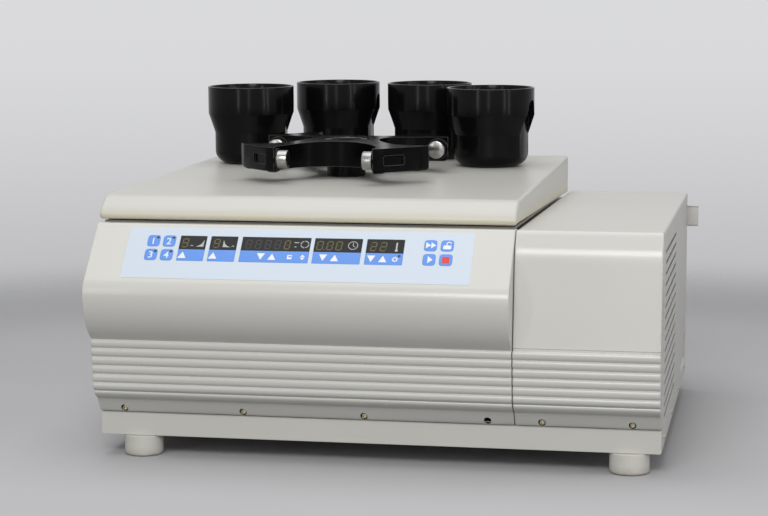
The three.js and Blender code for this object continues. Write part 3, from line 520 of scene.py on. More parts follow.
front_paint = powder_coat("off_white_front_paint", "#DAD9D3", "#D5D4CD", 0.23)
finished(cowl, front_paint, "cabinet", ["front_cowl"])

# Front cover of the cooling section: the same paint and the same ribs, on a flatter face that
# leans out a little and folds over at the top with a wide soft bend.
bend_y = FRONT - np.array([6.4, 8.6, 11, 13.6, 16, 17.9, 19.4, 20.7, 21.7, 22.5, 23.1, 23.6, 24.5])
bend_z = np.array([301.6, 299.6, 296, 291.7, 287.5, 284.3, 281.3, 278, 274.6, 271.2, 268, 264.5, 256])
face_z = np.linspace(245, RIB_TOP + 3.2, 6)
face_y = np.interp(face_z, [RIB_TOP + 2.5, 256], [FRONT - 35.5, FRONT - 24.5])
cover_outer, cover_inner = outline_pair([
    (np.column_stack([FRONT + np.array([12, -2.9, -3, -3.1, -4.4]), [300.0, 300.0, 302.2, 302.3, 302.3]]),
     np.column_stack([FRONT + np.array([13.0, 5, 3, 2, 0]), np.full(5, 296.3)])),
    (np.stack([bend_y, bend_z], 1), np.stack([bend_y + 3.4, np.minimum(bend_z - 1.2, 296.2)], 1)),
    (np.stack([face_y, face_z], 1), np.stack([face_y + WALL, face_z], 1)),
    [np.array([[y, RIB_TOP + 2.2], [y, RIB_TOP + 0.3]]) for y in (FRONT - 33.8, FRONT - 31.0)],
    rib_outlines(),
    lower_band(),
])
cover_grid, cover_inside, _ = carried(cover_outer, cover_inner, SEAM + 0.9, RIGHT, 1.8)
cover_faces = joined_faces(cover_grid, cover_inside, capped=True)
cover = mesh_object("right_front_cover_pressing", cover_faces, sharp=38)
finished(cover, front_paint, "cabinet", ["right_front_cover"])

# Cover screws: hexagon socket screws of yellow passivated steel, sunk in counterbored holes along
# the plain band. The cowl's last hole on the right has lost its screw and shows dark, as does a
# small round hole low in the cooling cover's end.
def final_mesh(made):
    """The mesh that an object has once its modifiers, or its curve's filling, are worked out."""
    bpy.context.view_layer.update()
    return bpy.data.meshes.new_from_object(made.evaluated_get(bpy.context.evaluated_depsgraph_get()))


def carved(piece, *shapes, operation="DIFFERENCE", sharp=32):
    """Cuts other shapes out of a piece, or joins them to it, and keeps the result as its mesh."""
    cutters = [mesh_object("cutter", shape) for shape in shapes]
    for cutter in cutters:
        step = piece.modifiers.new("carve", "BOOLEAN")
        step.operation, step.solver, step.object = operation, "EXACT", cutter
    result = final_mesh(piece)
    piece.modifiers.clear()
    piece.data = result
    for cutter in cutters:
        bpy.data.objects.remove(cutter)
    result.shade_smooth()
    result.set_sharp_from_angle(angle=radians(sharp))


def turned_at(outline, origin, direction, steps=32):
    """A revolved outline whose axis is laid along a direction from an origin."""
    points, faces = revolved(outline, steps=steps)
    turn = np.array(Vector(direction).to_track_quat("Z", "Y").to_matrix())
    return points @ turn.T + np.asarray(origin, float), faces


screw_steel = new_material("yellow_passivated_steel")
screw_tone = clouded(screw_steel, 0.0015, "#CFC5A8", "#A89E82", 3.0)
close_material(screw_steel, [("Base Color", screw_tone), ("Metallic", 1.0), ("Roughness", 0.36)])
LOST_SCREW_X, SCREW_Z = 145.3, 63.4
screw_y = np.interp(SCREW_Z, [62, 75.95], [FRONT - 7.2, FRONT - 16.4])
head_line = [
    [0, -7.4], [3.5, -7.4], [3.5, -3.6], [3.2, -3.0], [2.7, -2.7], [1.9, -2.7], [1.75, -2.9], [1.6, -5.0],
    [0, -5.3],
]
cowl_screws, cover_screws = (-326.4, -168.9, -11.8, LOST_SCREW_X), (213.2, 325.0)
wells = {
    x: turned_at([[0, -9], [4.8, -9], [4.8, 6], [0, 6]], (x, screw_y, SCREW_Z), (0, -1, 0), 40)
    for x in (*cowl_screws, *cover_screws)
}
end_hole = bar("x", circle(FRONT - 37.2, 155, 2.1, 24), RIGHT - 9, RIGHT + 2)
carved(cowl, *[wells[x] for x in cowl_screws], sharp=38)
carved(cover, *[wells[x] for x in cover_screws], end_hole, sharp=38)
heads = [turned_at(head_line, (x, screw_y, SCREW_Z), (0, -1, 0)) for x in wells if x != LOST_SCREW_X]
finished(mesh_object("band_screws", merged(*heads)), screw_steel, "cabinet")

# Cooling section's cover: one steel sheet folded over the top and down the right side, with a
# column of long punched air slots, a pressed hand recess low at the back and a turned-down lip.
# Low down its front edge leans forward, to keep an even joint with the front cover.
SLOT_HEIGHT, SLOT_PITCH, SHEET_FRONT, RECESS_DEPTH, EDGE_LEAN = 4.4, 13.8, FRONT + 13, 3.2, 9.4
slot_y = (FRONT + 47, FRONT + 309)
slot_z = 63.5 + SLOT_PITCH * np.arange(16)
side_z = np.unique([*slot_z, *(slot_z + SLOT_HEIGHT), 28, 34, 46, 49.5, 52, 88.5, 92, 294, 297])[::-1]
sheet_line = np.concatenate([
    [[180.6, 294.0], [180.6, 298.0]], curve(182.4, CABINET_TOP - 1.8, 1.8, 90, 180, 5)[::-1],
    np.stack([np.linspace(186, RIGHT - 6, 6), np.full(6, CABINET_TOP)], 1),
    curve(RIGHT - 3.2, CABINET_TOP - 3.2, 3.2, 0, 90, 8)[::-1],
    np.stack([np.full(len(side_z), RIGHT), side_z], 1),
])
sheet_y = np.unique([
    FRONT - 2.7, SHEET_FRONT, *slot_y, 205, 209, 341, 344.6, REAR, *np.linspace(FRONT + 20, REAR - 10, 6)
])
sheet_grid, sheet_back = [
    np.stack(np.broadcast_arrays(line[None, :, 0], sheet_y[:, None], line[None, :, 1]), -1)
    for line in (sheet_line, sheet_line - 2.0 * normals(sheet_line))
]
x, y, z = sheet_grid.copy().transpose(2, 0, 1)
on_side = x > RIGHT - 0.5
lean = np.where(on_side & (y == SHEET_FRONT), np.clip((299 - z) / 241, 0, 1) * EDGE_LEAN, 0)
in_recess = on_side & (y > 208) & (y < 342) & (z > 49) & (z < 89)
for sheet_face in (sheet_grid, sheet_back):
    sheet_face[..., 1] -= lean
    sheet_face[in_recess, 0] -= RECESS_DEPTH
cell_y = (sheet_y[:-1] + sheet_y[1:]) / 2
cell_z = (sheet_line[:-1, 1] + sheet_line[1:, 1]) / 2
in_slot_y = (cell_y > slot_y[0]) & (cell_y < slot_y[1])
in_slot_z = np.any([(cell_z > z) & (cell_z < z + SLOT_HEIGHT) for z in slot_z], axis=0)
in_slot_z &= sheet_line[:-1, 0] > RIGHT - 0.01
ahead = (cell_y < SHEET_FRONT)[:, None] & (cell_z < 299.4)[None, :]
side_sheet = mesh_object("right_cabinet_sheet", joined_faces(
    sheet_grid, sheet_back, ~((in_slot_y[:, None] & in_slot_z[None, :]) | ahead),
), sharp=30)
finished(side_sheet, cabinet_paint, "cabinet", ["right_cabinet_cover"])

# Left side sheet: plain painted steel, cut to follow the cowl's back edge. Small low-headed screws
# of passivated steel along the foot of both side sheets hold them to the pan.
left_sheet = mesh_object("left_side_sheet", bar(
    "x", [[FRONT + 4, 28], [REAR, 28], [REAR, 296], [SHEET_FRONT, 296], [FRONT + 4, 60]], LEFT, LEFT + 2))
finished(left_sheet, cabinet_paint, "cabinet", ["left_side_panel"], bevel=0.6)
side_screw_line = [
    [0, -0.6], [3.4, -0.6], [3.4, 0.25], [2.9, 0.9], [1.5, 1.2], [1.3, 1.1], [1.1, 0.2], [0, 0.1],
]
side_screw_y, side_screw_z = (-239, -68, 127, 318), 39.0
side_screws = [
    turned_at(side_screw_line, (x, y, side_screw_z), (way, 0, 0))
    for x, way in ((LEFT, -1), (RIGHT, 1)) for y in side_screw_y
]
finished(mesh_object("side_screws", merged(*side_screws)), screw_steel, "cabinet")


# Rear panel: a flat steel sheet, painted like the cabinet, that stands between pan and top. The
# warm air's slots and the openings of the inlet and the switch are punched through it.
def punched_plate(x_lines, z_lines, holes, front_y, back_y):
    """A flat plate on a grid of lines; cells that lie inside a hole are left open."""
    x_lines, z_lines = np.unique(x_lines), np.unique(z_lines)
    x, z = np.meshgrid(x_lines, z_lines, indexing="ij")
    outer = np.stack([x, np.full_like(x, back_y), z], -1)
    inner = np.stack([x, np.full_like(x, front_y), z], -1)
    mid_x = (x_lines[:-1] + x_lines[1:]) / 2
    mid_z = (z_lines[:-1] + z_lines[1:]) / 2
    keep = np.ones((len(mid_x), len(mid_z)), bool)
    for x0, x1, z0, z1 in holes:
        keep &= ~(((mid_x > x0) & (mid_x < x1))[:, None] & ((mid_z > z0) & (mid_z < z1))[None, :])
    return joined_faces(outer, inner, keep)


INLET_X, SWITCH_X, POWER_Z = 262.0, 205.0, 78.0
rear_holes = [
    (INLET_X - 17, INLET_X + 17, POWER_Z - 13, POWER_Z + 13),
    (SWITCH_X - 11.4, SWITCH_X + 11.4, POWER_Z - 15.4, POWER_Z + 15.4),
    *[(215, 335, z, z + SLOT_HEIGHT) for z in 130 + SLOT_PITCH * np.arange(8)],
]
hole_lines = np.array(rear_holes)
rear_sheet = mesh_object("rear_sheet", merged(
    punched_plate(
        [PAN_LEFT, PAN_RIGHT, *hole_lines[:, :2].ravel()], [55.5, 289, *hole_lines[:, 2:].ravel()],
        rear_holes, REAR - 2, REAR,
    ),
    box(182, PAN_RIGHT, REAR - 2, REAR, 289.2, 300),
))
finished(rear_sheet, cabinet_paint, "cabinet", ["rear_panel"], bevel=0.3)

# Spacer bar: a folded channel across the back that keeps the machine off the wall. It reaches
# 16 mm past both sides, where its closed ends show, and three short stays join it to the panel.
BAR_BACK, BAR_LEFT, BAR_RIGHT = FRONT - 70.4 + 732.8, LEFT - 16, RIGHT + 16
spacer = mesh_object("rear_spacer_channel", merged(
    bar("x", rounded_rectangle(BAR_BACK - 2.2, BAR_BACK, 251, 282, 1.0), BAR_LEFT, BAR_RIGHT),
    *[box(BAR_LEFT, BAR_RIGHT, REAR + 0.3, BAR_BACK - 1, z, z + 2) for z in (251, 280)],
    *[box(x0, x1, REAR + 0.3, BAR_BACK - 1, 252, 281) for x0, x1 in (
        (BAR_LEFT, LEFT + 3), (RIGHT - 3, BAR_RIGHT), (LEFT + 25, LEFT + 55), (-15, 15),
        (RIGHT - 55, RIGHT - 25),
    )],
))
finished(spacer, cabinet_paint, "cabinet", ["rear_spacer_bar"], bevel=0.7)

# Mains inlet with its three pins, and the rocker switch beside it, in black moulded nylon with a
# fine spark-eroded texture, drawn at 0.8 mm.
black_nylon = new_material("black_moulded_nylon")
nylon_skin = textured(black_nylon, grain(black_nylon, 0.0008), 0.48, 0.35, 0.0002)
close_material(black_nylon, [("Base Color", colour("#1C1C1E")), ("IOR", 1.53), *nylon_skin])
socket_outline = np.array([[-12, -8], [12, -8], [12, 4.5], [8.5, 8], [-8.5, 8], [-12, 4.5]])
inlet = mesh_object("mains_inlet_body", bar(
    "y", rounded_rectangle(INLET_X - 24, INLET_X + 24, POWER_Z - 16, POWER_Z + 16, 5), REAR + 0.3, REAR + 3))
carved(inlet, box(
    INLET_X - 16.6, INLET_X + 16.6, REAR - 26, REAR + 1, POWER_Z - 12.6, POWER_Z + 12.6), operation="UNION")
carved(inlet, bar("y", socket_outline + [INLET_X, POWER_Z], REAR - 19, REAR + 5))
finished(inlet, black_nylon, "cabinet", ["mains_inlet"], bevel=0.4)
pins = mesh_object("inlet_pins", merged(*[
    box(INLET_X + x - 1, INLET_X + x + 1, REAR - 19.5, REAR - 3, POWER_Z + z - 2, POWER_Z + z + 2)
    for x, z in ((-7, -1.5), (7, -1.5), (0, 2.5))
]))
finished(pins, screw_steel, "cabinet", bevel=0.3)
rocker_outline = np.concatenate([
    [[REAR - 5, POWER_Z - 12.5], [REAR + 0.8, POWER_Z - 13.4]],
    np.stack([REAR + np.array([1.15, 1.35, 1.8, 2.6, 3.6]), POWER_Z + np.array([-7, -2, 3, 8, 12])], 1),
    [[REAR + 4.4, POWER_Z + 13], [REAR - 5, POWER_Z + 12.5]],
])
rocker = mesh_object("mains_switch_rocker", bar("x", rocker_outline, SWITCH_X - 10.5, SWITCH_X + 10.5))
finished(rocker, black_nylon, "power_switch", ["mains_switch"], bevel=0.5)


# Keypad foil: printed pale blue polyester, glued on the slanted panel. The keys stand a little
# proud of it, in openings that follow their outlines, and five smoked panes cover the digits.
PANEL_X, PANEL_DROP = 0.6, 1.1


def on_panel(surface):
    """From the panel's frame (x from the cabinet's left side, y up the slant, z out of it) to the
    part's frame."""
    points, faces = surface
    x, y, z = np.asarray(points, float).T
    return np.stack([
        LEFT + PANEL_X + x, FASCIA_TOP + (y - PANEL_DROP) * cos(SLANT) - z * sin(SLANT),
        CABINET_TOP + (y - PANEL_DROP) * sin(SLANT) + z * cos(SLANT),
    ], 1), faces


def points_of(mesh):
    """A mesh's points in metres, one row each."""
    points = np.empty(len(mesh.vertices) * 3)
    mesh.vertices.foreach_get("co", points)
    return points.reshape(-1, 3)


def mesh_of(data):
    """The points and faces that a curve or a text is filled with."""
    holder = bpy.data.objects.new("filling", data)
    bpy.context.scene.collection.objects.link(holder)
    mesh = final_mesh(holder)
    points, faces = points_of(mesh), [list(polygon.vertices) for polygon in mesh.polygons]
    bpy.data.objects.remove(holder)
    bpy.data.meshes.remove(mesh)
    return points, faces


def flat_shape(outlines, low, high):
    """A plate between two heights: the first outline is filled and the others are holes in it."""
    line = bpy.data.curves.new("plate", "CURVE")
    line.dimensions = "2D"
    line.fill_mode = "BOTH"
    line.extrude = (high - low) / 2
    for outline in outlines:
        spline = line.splines.new("POLY")
        spline.points.add(len(outline) - 1)
        flat = np.column_stack([outline, np.zeros(len(outline)), np.ones(len(outline))])
        spline.points.foreach_set("co", flat.ravel())
        spline.use_cyclic_u = True
    points, faces = mesh_of(line)
    points[:, 2] += (low + high) / 2
    return points, faces


def cushion_outline(x0, x1, y0, y1, grow=0.0, power=4.5, steps=64):
    """|x / a| ** power + |y / b| ** power = 1: a square whose sides bow out a little."""
    turn = np.linspace(0, 2 * pi, steps, endpoint=False)
    a, b = (x1 - x0) / 2 + grow, (y1 - y0) / 2 + grow
    c, s = np.cos(turn), np.sin(turn)
    return np.stack([
        (x0 + x1) / 2 + a * np.sign(c) * np.abs(c) ** (2 / power),
        (y0 + y1) / 2 + b * np.sign(s) * np.abs(s) ** (2 / power),
    ], 1)


def key_body(outline, root, top):
    """The outline rises straight and then closes in over a small rounded edge."""
    middle = outline.mean(0)
    size = np.abs(outline - middle).max(0)
    rings = []
    for inset, z in ((0.0, root), (0.0, top - 0.3), (0.1, top - 0.12), (0.3, top - 0.03), (0.6, top)):
        scale = (size - inset) / size
        rings.append(np.column_stack([middle + (outline - middle) * scale, np.full(len(outline), z)]))
    return stacked(rings)


def printed(name, hex_code, gloss):
    """Screen print under polyester film: even colour, with a film ripple drawn at 6 mm."""
    ink = new_material(name)
    film = textured(ink, grain(ink, 0.006, 1.0), gloss, 0.05)
    return close_material(ink, [("Base Color", colour(hex_code)), ("IOR", 1.57), *film])


foil_print = printed("pale_blue_printed_polyester", "#D3DFEB", 0.38)
key_print = printed("blue_printed_key", "#5F96EA", 0.40)
white_print = printed("white_printed_sign", "#F2F4F5", 0.42)
red_print = printed("red_printed_square", "#E2362C", 0.40)
led_print = printed("black_lamp_dot", "#15181C", 0.25)
KEY_TOP = 0.7
TOP_ROW, BOTTOM_ROW, ARROW_ROW = (-34.6, -17.2), (-55.75, -38.35), (-55.6, -38.2)
RIGHT_TOP_ROW, RIGHT_BOTTOM_ROW = (-33.7, -16.8), (-55.2, -37.8)
PANE_ROW = (-38.0, -17.2)
PANES = [(114.6, 149.0), (154.4, 189.2), (195.2, 283.4), (288.4, 349.0), (354.8, 402.2)]
SIGN, SIGN_Y = (KEY_TOP - 0.05, KEY_TOP + 0.04), -46.9


def arrow(x, y, width, height, way):
    """A triangle that points up, down or right."""
    w, h = width / 2, height / 2
    corners = {
        "up": [[-w, -h], [w, -h], [0, h]], "down": [[-w, h], [0, -h], [w, h]],
        "right": [[-w, -h], [w, 0], [-w, h]],
    }
    return flat_shape([np.array(corners[way]) + [x, y]], *SIGN)


def down_and_up(x_down, x_up):
    """The two arrows that lower and raise a strip's value."""
    return [arrow(x_down, SIGN_Y, 10.4, 9.8, "down"), arrow(x_up, SIGN_Y, 10.4, 9.8, "up")]


def figure(text, x, y):
    """A plain upright figure, 13.8 mm on the type's body, drawn a touch bolder and centred at (x, y)."""
    type_size = 13.8
    words = bpy.data.curves.new("figures", "FONT")
    words.body = text
    words.size = type_size
    words.align_x, words.align_y = "CENTER", "CENTER"
    words.offset = type_size * 0.008
    words.resolution_u = 4
    words.extrude = (SIGN[1] - SIGN[0]) / 2
    points, faces = mesh_of(words)
    middle = (points.max(0) + points.min(0)) / 2
    return points - middle + [x, y, (SIGN[0] + SIGN[1]) / 2], faces


lock_shackle = np.concatenate([
    curve(457.9, -22.6, 3.4, 15, 180, 12), [[454.5, -24.6], [455.8, -24.6]],
    curve(457.9, -22.6, 2.1, 180, 15, 12),
])
snow_turn = np.radians(np.arange(16) * 22.5)
snow_reach = np.where(np.arange(16) % 2 == 0, 4.2, 2.9)
snow = np.stack([392.7 + snow_reach * np.cos(snow_turn), -47.4 + snow_reach * np.sin(snow_turn)], 1)
keys = (
    ("program_key_1", 72.1, 88.4, TOP_ROW, (85.1, -20.8), [figure("1", 79.7, -26.3)]),
    ("program_key_2", 92.6, 108.9, TOP_ROW, (105.6, -20.8), [figure("2", 100.2, -26.3)]),
    ("program_key_3", 72.1, 88.4, BOTTOM_ROW, (85.1, -41.9), [figure("3", 79.7, -47.4)]),
    ("program_key_4", 92.6, 108.9, BOTTOM_ROW, (105.6, -41.9), [figure("4", 100.2, -47.4)]),
    ("acceleration_key", *PANES[0], ARROW_ROW, None, [arrow(121.0, SIGN_Y, 11.0, 9.8, "up")]),
    ("braking_key", *PANES[1], ARROW_ROW, None, [arrow(160.8, SIGN_Y, 11.0, 9.8, "up")]),
    ("speed_keys", *PANES[2], ARROW_ROW, None, [
        *down_and_up(222.4, 236.8),
        flat_shape([rounded_rectangle(256.4, 262.4, -50.2, -43.8, 0.6, 3),
                    rounded_rectangle(258.0, 262.0, -47.4, -45.4, 0.3, 3)], *SIGN),
        arrow(275.8, -44.7, 6.4, 3.6, "up"), arrow(275.8, -49.3, 6.4, 3.6, "down"),
    ]),
    ("time_keys", *PANES[3], ARROW_ROW, None, down_and_up(301.8, 316.6)),
    ("temperature_keys", *PANES[4], ARROW_ROW, (397.6, -42.2), [
        *down_and_up(362.6, 377.3), flat_shape([snow, circle(392.7, -47.4, 1.8, 24)], *SIGN),
    ]),
    ("quick_run_key", 427.1, 442.9, RIGHT_TOP_ROW, None, [
        arrow(x, -25.0, 6.2, 9.2, "right") for x in (432.4, 438.8)
    ]),
    ("lid_key", 447.7, 463.8, RIGHT_TOP_ROW, None, [
        flat_shape([rounded_rectangle(450.9, 460.9, -30.5, -24.7, 0.6, 3)], *SIGN),
        flat_shape([lock_shackle], *SIGN),
    ]),
    ("start_key", 427.3, 443.1, RIGHT_BOTTOM_ROW, None, [arrow(436.5, -46.6, 6.4, 10.6, "right")]),
    ("stop_key", 447.9, 464.1, RIGHT_BOTTOM_ROW, None, []),
)
foil_holes = []
for node, x0, x1, (y0, y1), lamp, signs in keys:
    if (y0, y1) == ARROW_ROW:
        outline = rounded_rectangle(x0, x1, y0, y1, 0.7, 4)
        foil_holes.append(rounded_rectangle(x0 - 0.12, x1 + 0.12, y0 - 0.12, PANE_ROW[1] + 0.12, 0.7, 4))
    else:
        outline = cushion_outline(x0, x1, y0, y1)
        foil_holes.append(cushion_outline(x0, x1, y0, y1, grow=0.12))
    layers = [(key_body(outline, -1.6, KEY_TOP), key_print)] + [(sign, white_print) for sign in signs]
    if lamp:
        layers.append((flat_shape([circle(*lamp, 2.0, 32)], *SIGN), led_print))
    if node == "stop_key":
        layers.append((flat_shape([rounded_rectangle(451.4, 460.5, -52.0, -41.9, 0.5, 3)], *SIGN), red_print))
    key = mesh_object(node + "_cap", on_panel(merged(*[shape for shape, _ in layers])), sharp=40)
    inks = list(dict.fromkeys(ink for _, ink in layers))
    for ink in inks:
        key.data.materials.append(ink)
    layer_index = np.repeat([inks.index(ink) for _, ink in layers], [len(shape[1]) for shape, _ in layers])
    if len(layer_index) != len(key.data.polygons):
        raise ValueError(f"{node}: {len(layer_index)} faces made, {len(key.data.polygons)} kept")
    key.data.polygons.foreach_set("material_index", layer_index.astype(np.int32))
    # A program key moves with key_1 to key_4, and any other with key_ and its own first words.
    body = "key_" + node.replace("program_key_", "").replace("_keys", "").replace("_key", "")
    finished(key, None, body, [node])

foil = mesh_object("keypad_foil_print", on_panel(flat_shape(
    [rounded_rectangle(46.5, 489, -82.6, -5, 2.0), *foil_holes], 0.05, 0.35)), sharp=40)
finished(foil, foil_print, "cabinet", ["keypad_foil"])

# Display panes: smoked acrylic, flush in the foil above the arrow strips, on one backing strip.
# Dim olive segments stand for the unlit figures, with the unused ones fainter still.
smoked = new_material("smoked_acrylic")
smoked_tone = clouded(smoked, 0.03, "#141412", "#1A1917")
close_material(smoked, [("Base Color", smoked_tone), ("Roughness", 0.15), ("IOR", 1.3)])
panes = [flat_shape([rounded_rectangle(x0, x1, *PANE_ROW, 0.5, 4)], -0.2, 0.3) for x0, x1 in PANES]
backing = box(113, 404, -37, -15.8, -2.2, -0.15)
lens = mesh_object("display_panes", on_panel(merged(backing, *panes)), sharp=40)
finished(lens, smoked, "cabinet", ["display_lens"])
PANE_TOP = (0.26, 0.34)
SEGMENTS = {
    "a": (0.5, 1, 0), "g": (0.5, 0.5, 0), "d": (0.5, 0, 0),
    "f": (0, 0.75, 1), "b": (1, 0.75, 1), "e": (0, 0.25, 1), "c": (1, 0.25, 1),
}
LIT = {"9": "abcdfg", "0": "abcdef", "2": "abged"}


def digit(x0, x1, y0, y1, lit):
    """Seven bars with pointed ends, leaning right; lit ones and the rest are returned apart."""
    shown_bars, hidden_bars = [], []
    t, lean = 0.75, 0.09
    w, h = x1 - x0 - 2 * t, y1 - y0 - 2 * t
    for letter, (u, v, upright) in SEGMENTS.items():
        half = (h / 4 if upright else w / 2) - 0.25
        bar_line = np.array([
            [-half, 0], [-half + t, t], [half - t, t], [half, 0], [half - t, -t], [-half + t, -t],
        ])
        if upright:
            bar_line = bar_line[:, ::-1] * [1, -1]
        bar_line = bar_line + [x0 + t + u * w, y0 + t + v * h]
        bar_line[:, 0] += (bar_line[:, 1] - y0) * lean
        (shown_bars if letter in lit else hidden_bars).append(flat_shape([bar_line], *PANE_TOP))
    return shown_bars, hidden_bars


lit_bars, dark_bars = [], []
for x0, x1, number in (
    (117.4, 125.6, "9"), (158.2, 166.4, "9"), (249.4, 257.4, "0"), (290.8, 299.4, "0"), (303.6, 311.8, "0"),
    (315.2, 323.6, "0"), (359.2, 367.2, "2"), (371.4, 379.8, "2"),
    (200.0, 208.0, ""), (212.0, 220.0, ""), (224.6, 232.6, ""), (237.0, 245.0, ""),
):
    lit_ones, dark_ones = digit(x0, x1, -35.2, -21.4, LIT.get(number, ""))
    lit_bars += lit_ones
    dark_bars += dark_ones
lit_bars.append(flat_shape([circle(301.6, -34.4, 0.8, 16)], *PANE_TOP))
olive = printed("dim_olive_segment", "#5C5718", 0.5)
faint = printed("unlit_segment", "#1F1E1A", 0.5)
grey_print = printed("pale_grey_display_sign", "#B9BCBC", 0.5)
finished(mesh_object("display_figures", on_panel(merged(*lit_bars))), olive, "cabinet")
finished(mesh_object("display_unlit_figures", on_panel(merged(*dark_bars))), faint, "cabinet")


def ribbon(line, width):
    """A line of even width along points, set out to both sides along their normals."""
    line = np.asarray(line, float)
    side = normals(line) * width / 2
    return flat_shape([np.concatenate([line + side, (line - side)[::-1]])], *PANE_TOP)


SPIN_SIGN = np.array([276.2, -27.2])
sign_shapes = [
    [[[136.0, -33.6], [146.2, -33.6], [146.2, -23.0], [143.4, -29.2], [139.8, -32.2]]],
    [[[171.2, -33.6], [171.2, -23.0], [174.0, -29.2], [177.6, -32.2], [181.6, -33.6]]],
    [rounded_rectangle(262.4, 268.6, -25.2, -24.0, 0.3, 3)],
    [rounded_rectangle(263.4, 266.0, -31.6, -30.4, 0.3, 3)],
    [circle(337.6, -27.4, radius, 40) for radius in (6.3, 5.4)],
    [np.concatenate([curve(392.8, -33.6, 1.9, -240, 60, 14), curve(392.8, -22.6, 1.0, 0, 180, 6)])],
]
sign_lines = [
    ([[129.2, -33.0], [131.0, -31.4], [132.8, -33.0]], 0.8),
    ([[182.6, -33.0], [184.2, -31.2], [185.9, -33.0]], 0.8),
    ([[337.6, -23.0], [337.6, -27.6], [340.6, -29.6]], 0.9),
]
for start in (15, 105, 195, 285):
    sign_lines.append((curve(*SPIN_SIGN, 5.0, start, start + 60, 10), 1.1))
    tip = curve(*SPIN_SIGN, 5.0, start + 62, start + 78, 2)
    flare = (tip[0] - SPIN_SIGN) * 0.26
    sign_shapes.append([[tip[0] + flare, tip[1], tip[0] - flare]])
display_signs = merged(
    *[flat_shape(outlines, *PANE_TOP) for outlines in sign_shapes],
    *[ribbon(line, width) for line, width in sign_lines],
)
finished(mesh_object("display_signs", on_panel(display_signs)), grey_print, "cabinet")


# Chamber: a deep-drawn stainless steel bowl hangs by its flange in the painted deck, with a black
# rubber seal round it. Bowl, motor and spindle carry the fine rings that a lathe or a polishing
# wheel leaves; the rings follow each piece's own radius and height.
def lathe_marks(piece, origin, axis=(0, 0, 1)):
    """Keeps for each point its distance from an axis and its height along it, in metres."""
    away = points_of(piece.data) - np.asarray(origin, float) / 1000
    axis = np.asarray(axis, float) / np.linalg.norm(axis)
    height = away @ axis
    radius = np.linalg.norm(away - height[:, None] * axis, axis=1)
    marks = piece.data.attributes.new("lathe", "FLOAT_VECTOR", "POINT")
    marks.data.foreach_set("vector", np.column_stack([radius, height, 0 * height]).ravel())


def ring_marks(material, pitch, detail):
    """Noise of (radius, height), which is even all the way round, with rings a pitch apart."""
    lathe = add_node(material, "ShaderNodeAttribute", attribute_name="lathe")
    return add_node(
        material, "ShaderNodeTexNoise",
        [("Vector", lathe.outputs["Vector"]), ("Scale", 1 / pitch), ("Detail", detail)],
    ).outputs[0]


def turned_metal(name, light, dark, gloss, pitch, relief):
    """Bare turned or polished metal: stains 40 mm across over fine rings that roughen it."""
    metal = new_material(name)
    skin = textured(metal, ring_marks(metal, pitch, 3.0), (gloss - 0.08, gloss + 0.10), relief)
    tone = clouded(metal, 0.04, light, dark, 3.0)
    return close_material(metal, [("Base Color", tone), ("Metallic", 1.0), *skin])


def dress(node, material):
    """A CAD node whose shape is right keeps it and takes a finish."""
    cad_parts[node].material_slots[0].material = material


CHAMBER_X, CHAMBER_Y, BOWL_R, BOWL_FLOOR, DECK_TOP = -91.0, 37.0, 214.0, 110.0, 293.0
dress("chamber_deck", cabinet_paint)
polished_steel = turned_metal("polished_stainless_steel", "#C9C8C6", "#BDBCB9", 0.26, 0.0012, 0.10)
flange_z = DECK_TOP + 0.3
bowl_outline = np.concatenate([
    [[BOWL_R + 9, flange_z], [BOWL_R + 9, flange_z + 2]],
    curve(BOWL_R + 3, flange_z - 1, 3, 90, 180, 8),
    curve(BOWL_R - 26, BOWL_FLOOR + 26, 26, 0, -90, 14), [[38, BOWL_FLOOR], [38, BOWL_FLOOR - 2]],
    curve(BOWL_R - 26, BOWL_FLOOR + 26, 28, -90, 0, 14), [[BOWL_R + 2, flange_z]],
])
bowl = mesh_object("chamber_bowl_drawn", revolved(bowl_outline, CHAMBER_X, CHAMBER_Y, 128, closed=True))
lathe_marks(bowl, (CHAMBER_X, CHAMBER_Y, 0))
finished(bowl, polished_steel, "cabinet", ["chamber_bowl"])

# Seal: extruded black EPDM rubber with two soft lips, joined to a ring that lies round the bowl's
# flange. It is matt, with a bloom of dust.
black_rubber = new_material("black_epdm_rubber")
rubber_tone = clouded(black_rubber, 0.02, "#1A1A1B", "#2B2A29", 4.0)
close_material(black_rubber, [("Base Color", rubber_tone), ("Roughness", 0.68), ("IOR", 1.52)])
seal_outline = np.concatenate([
    [[BOWL_R + 11, flange_z], [BOWL_R + 21, flange_z], [BOWL_R + 21, 297.2]],
    curve(BOWL_R + 18.6, 297.6, 2.4, 0, 180, 9), [[BOWL_R + 16, 296.4]],
    curve(BOWL_R + 13.3, 297.4, 2.2, 0, 180, 9),
])
seal_outline[:, 1] = np.minimum(seal_outline[:, 1], 300.3)
seal = mesh_object("chamber_seal_lips", revolved(seal_outline, CHAMBER_X, CHAMBER_Y, 128, closed=True))
finished(seal, black_rubber, "cabinet", ["chamber_seal"])

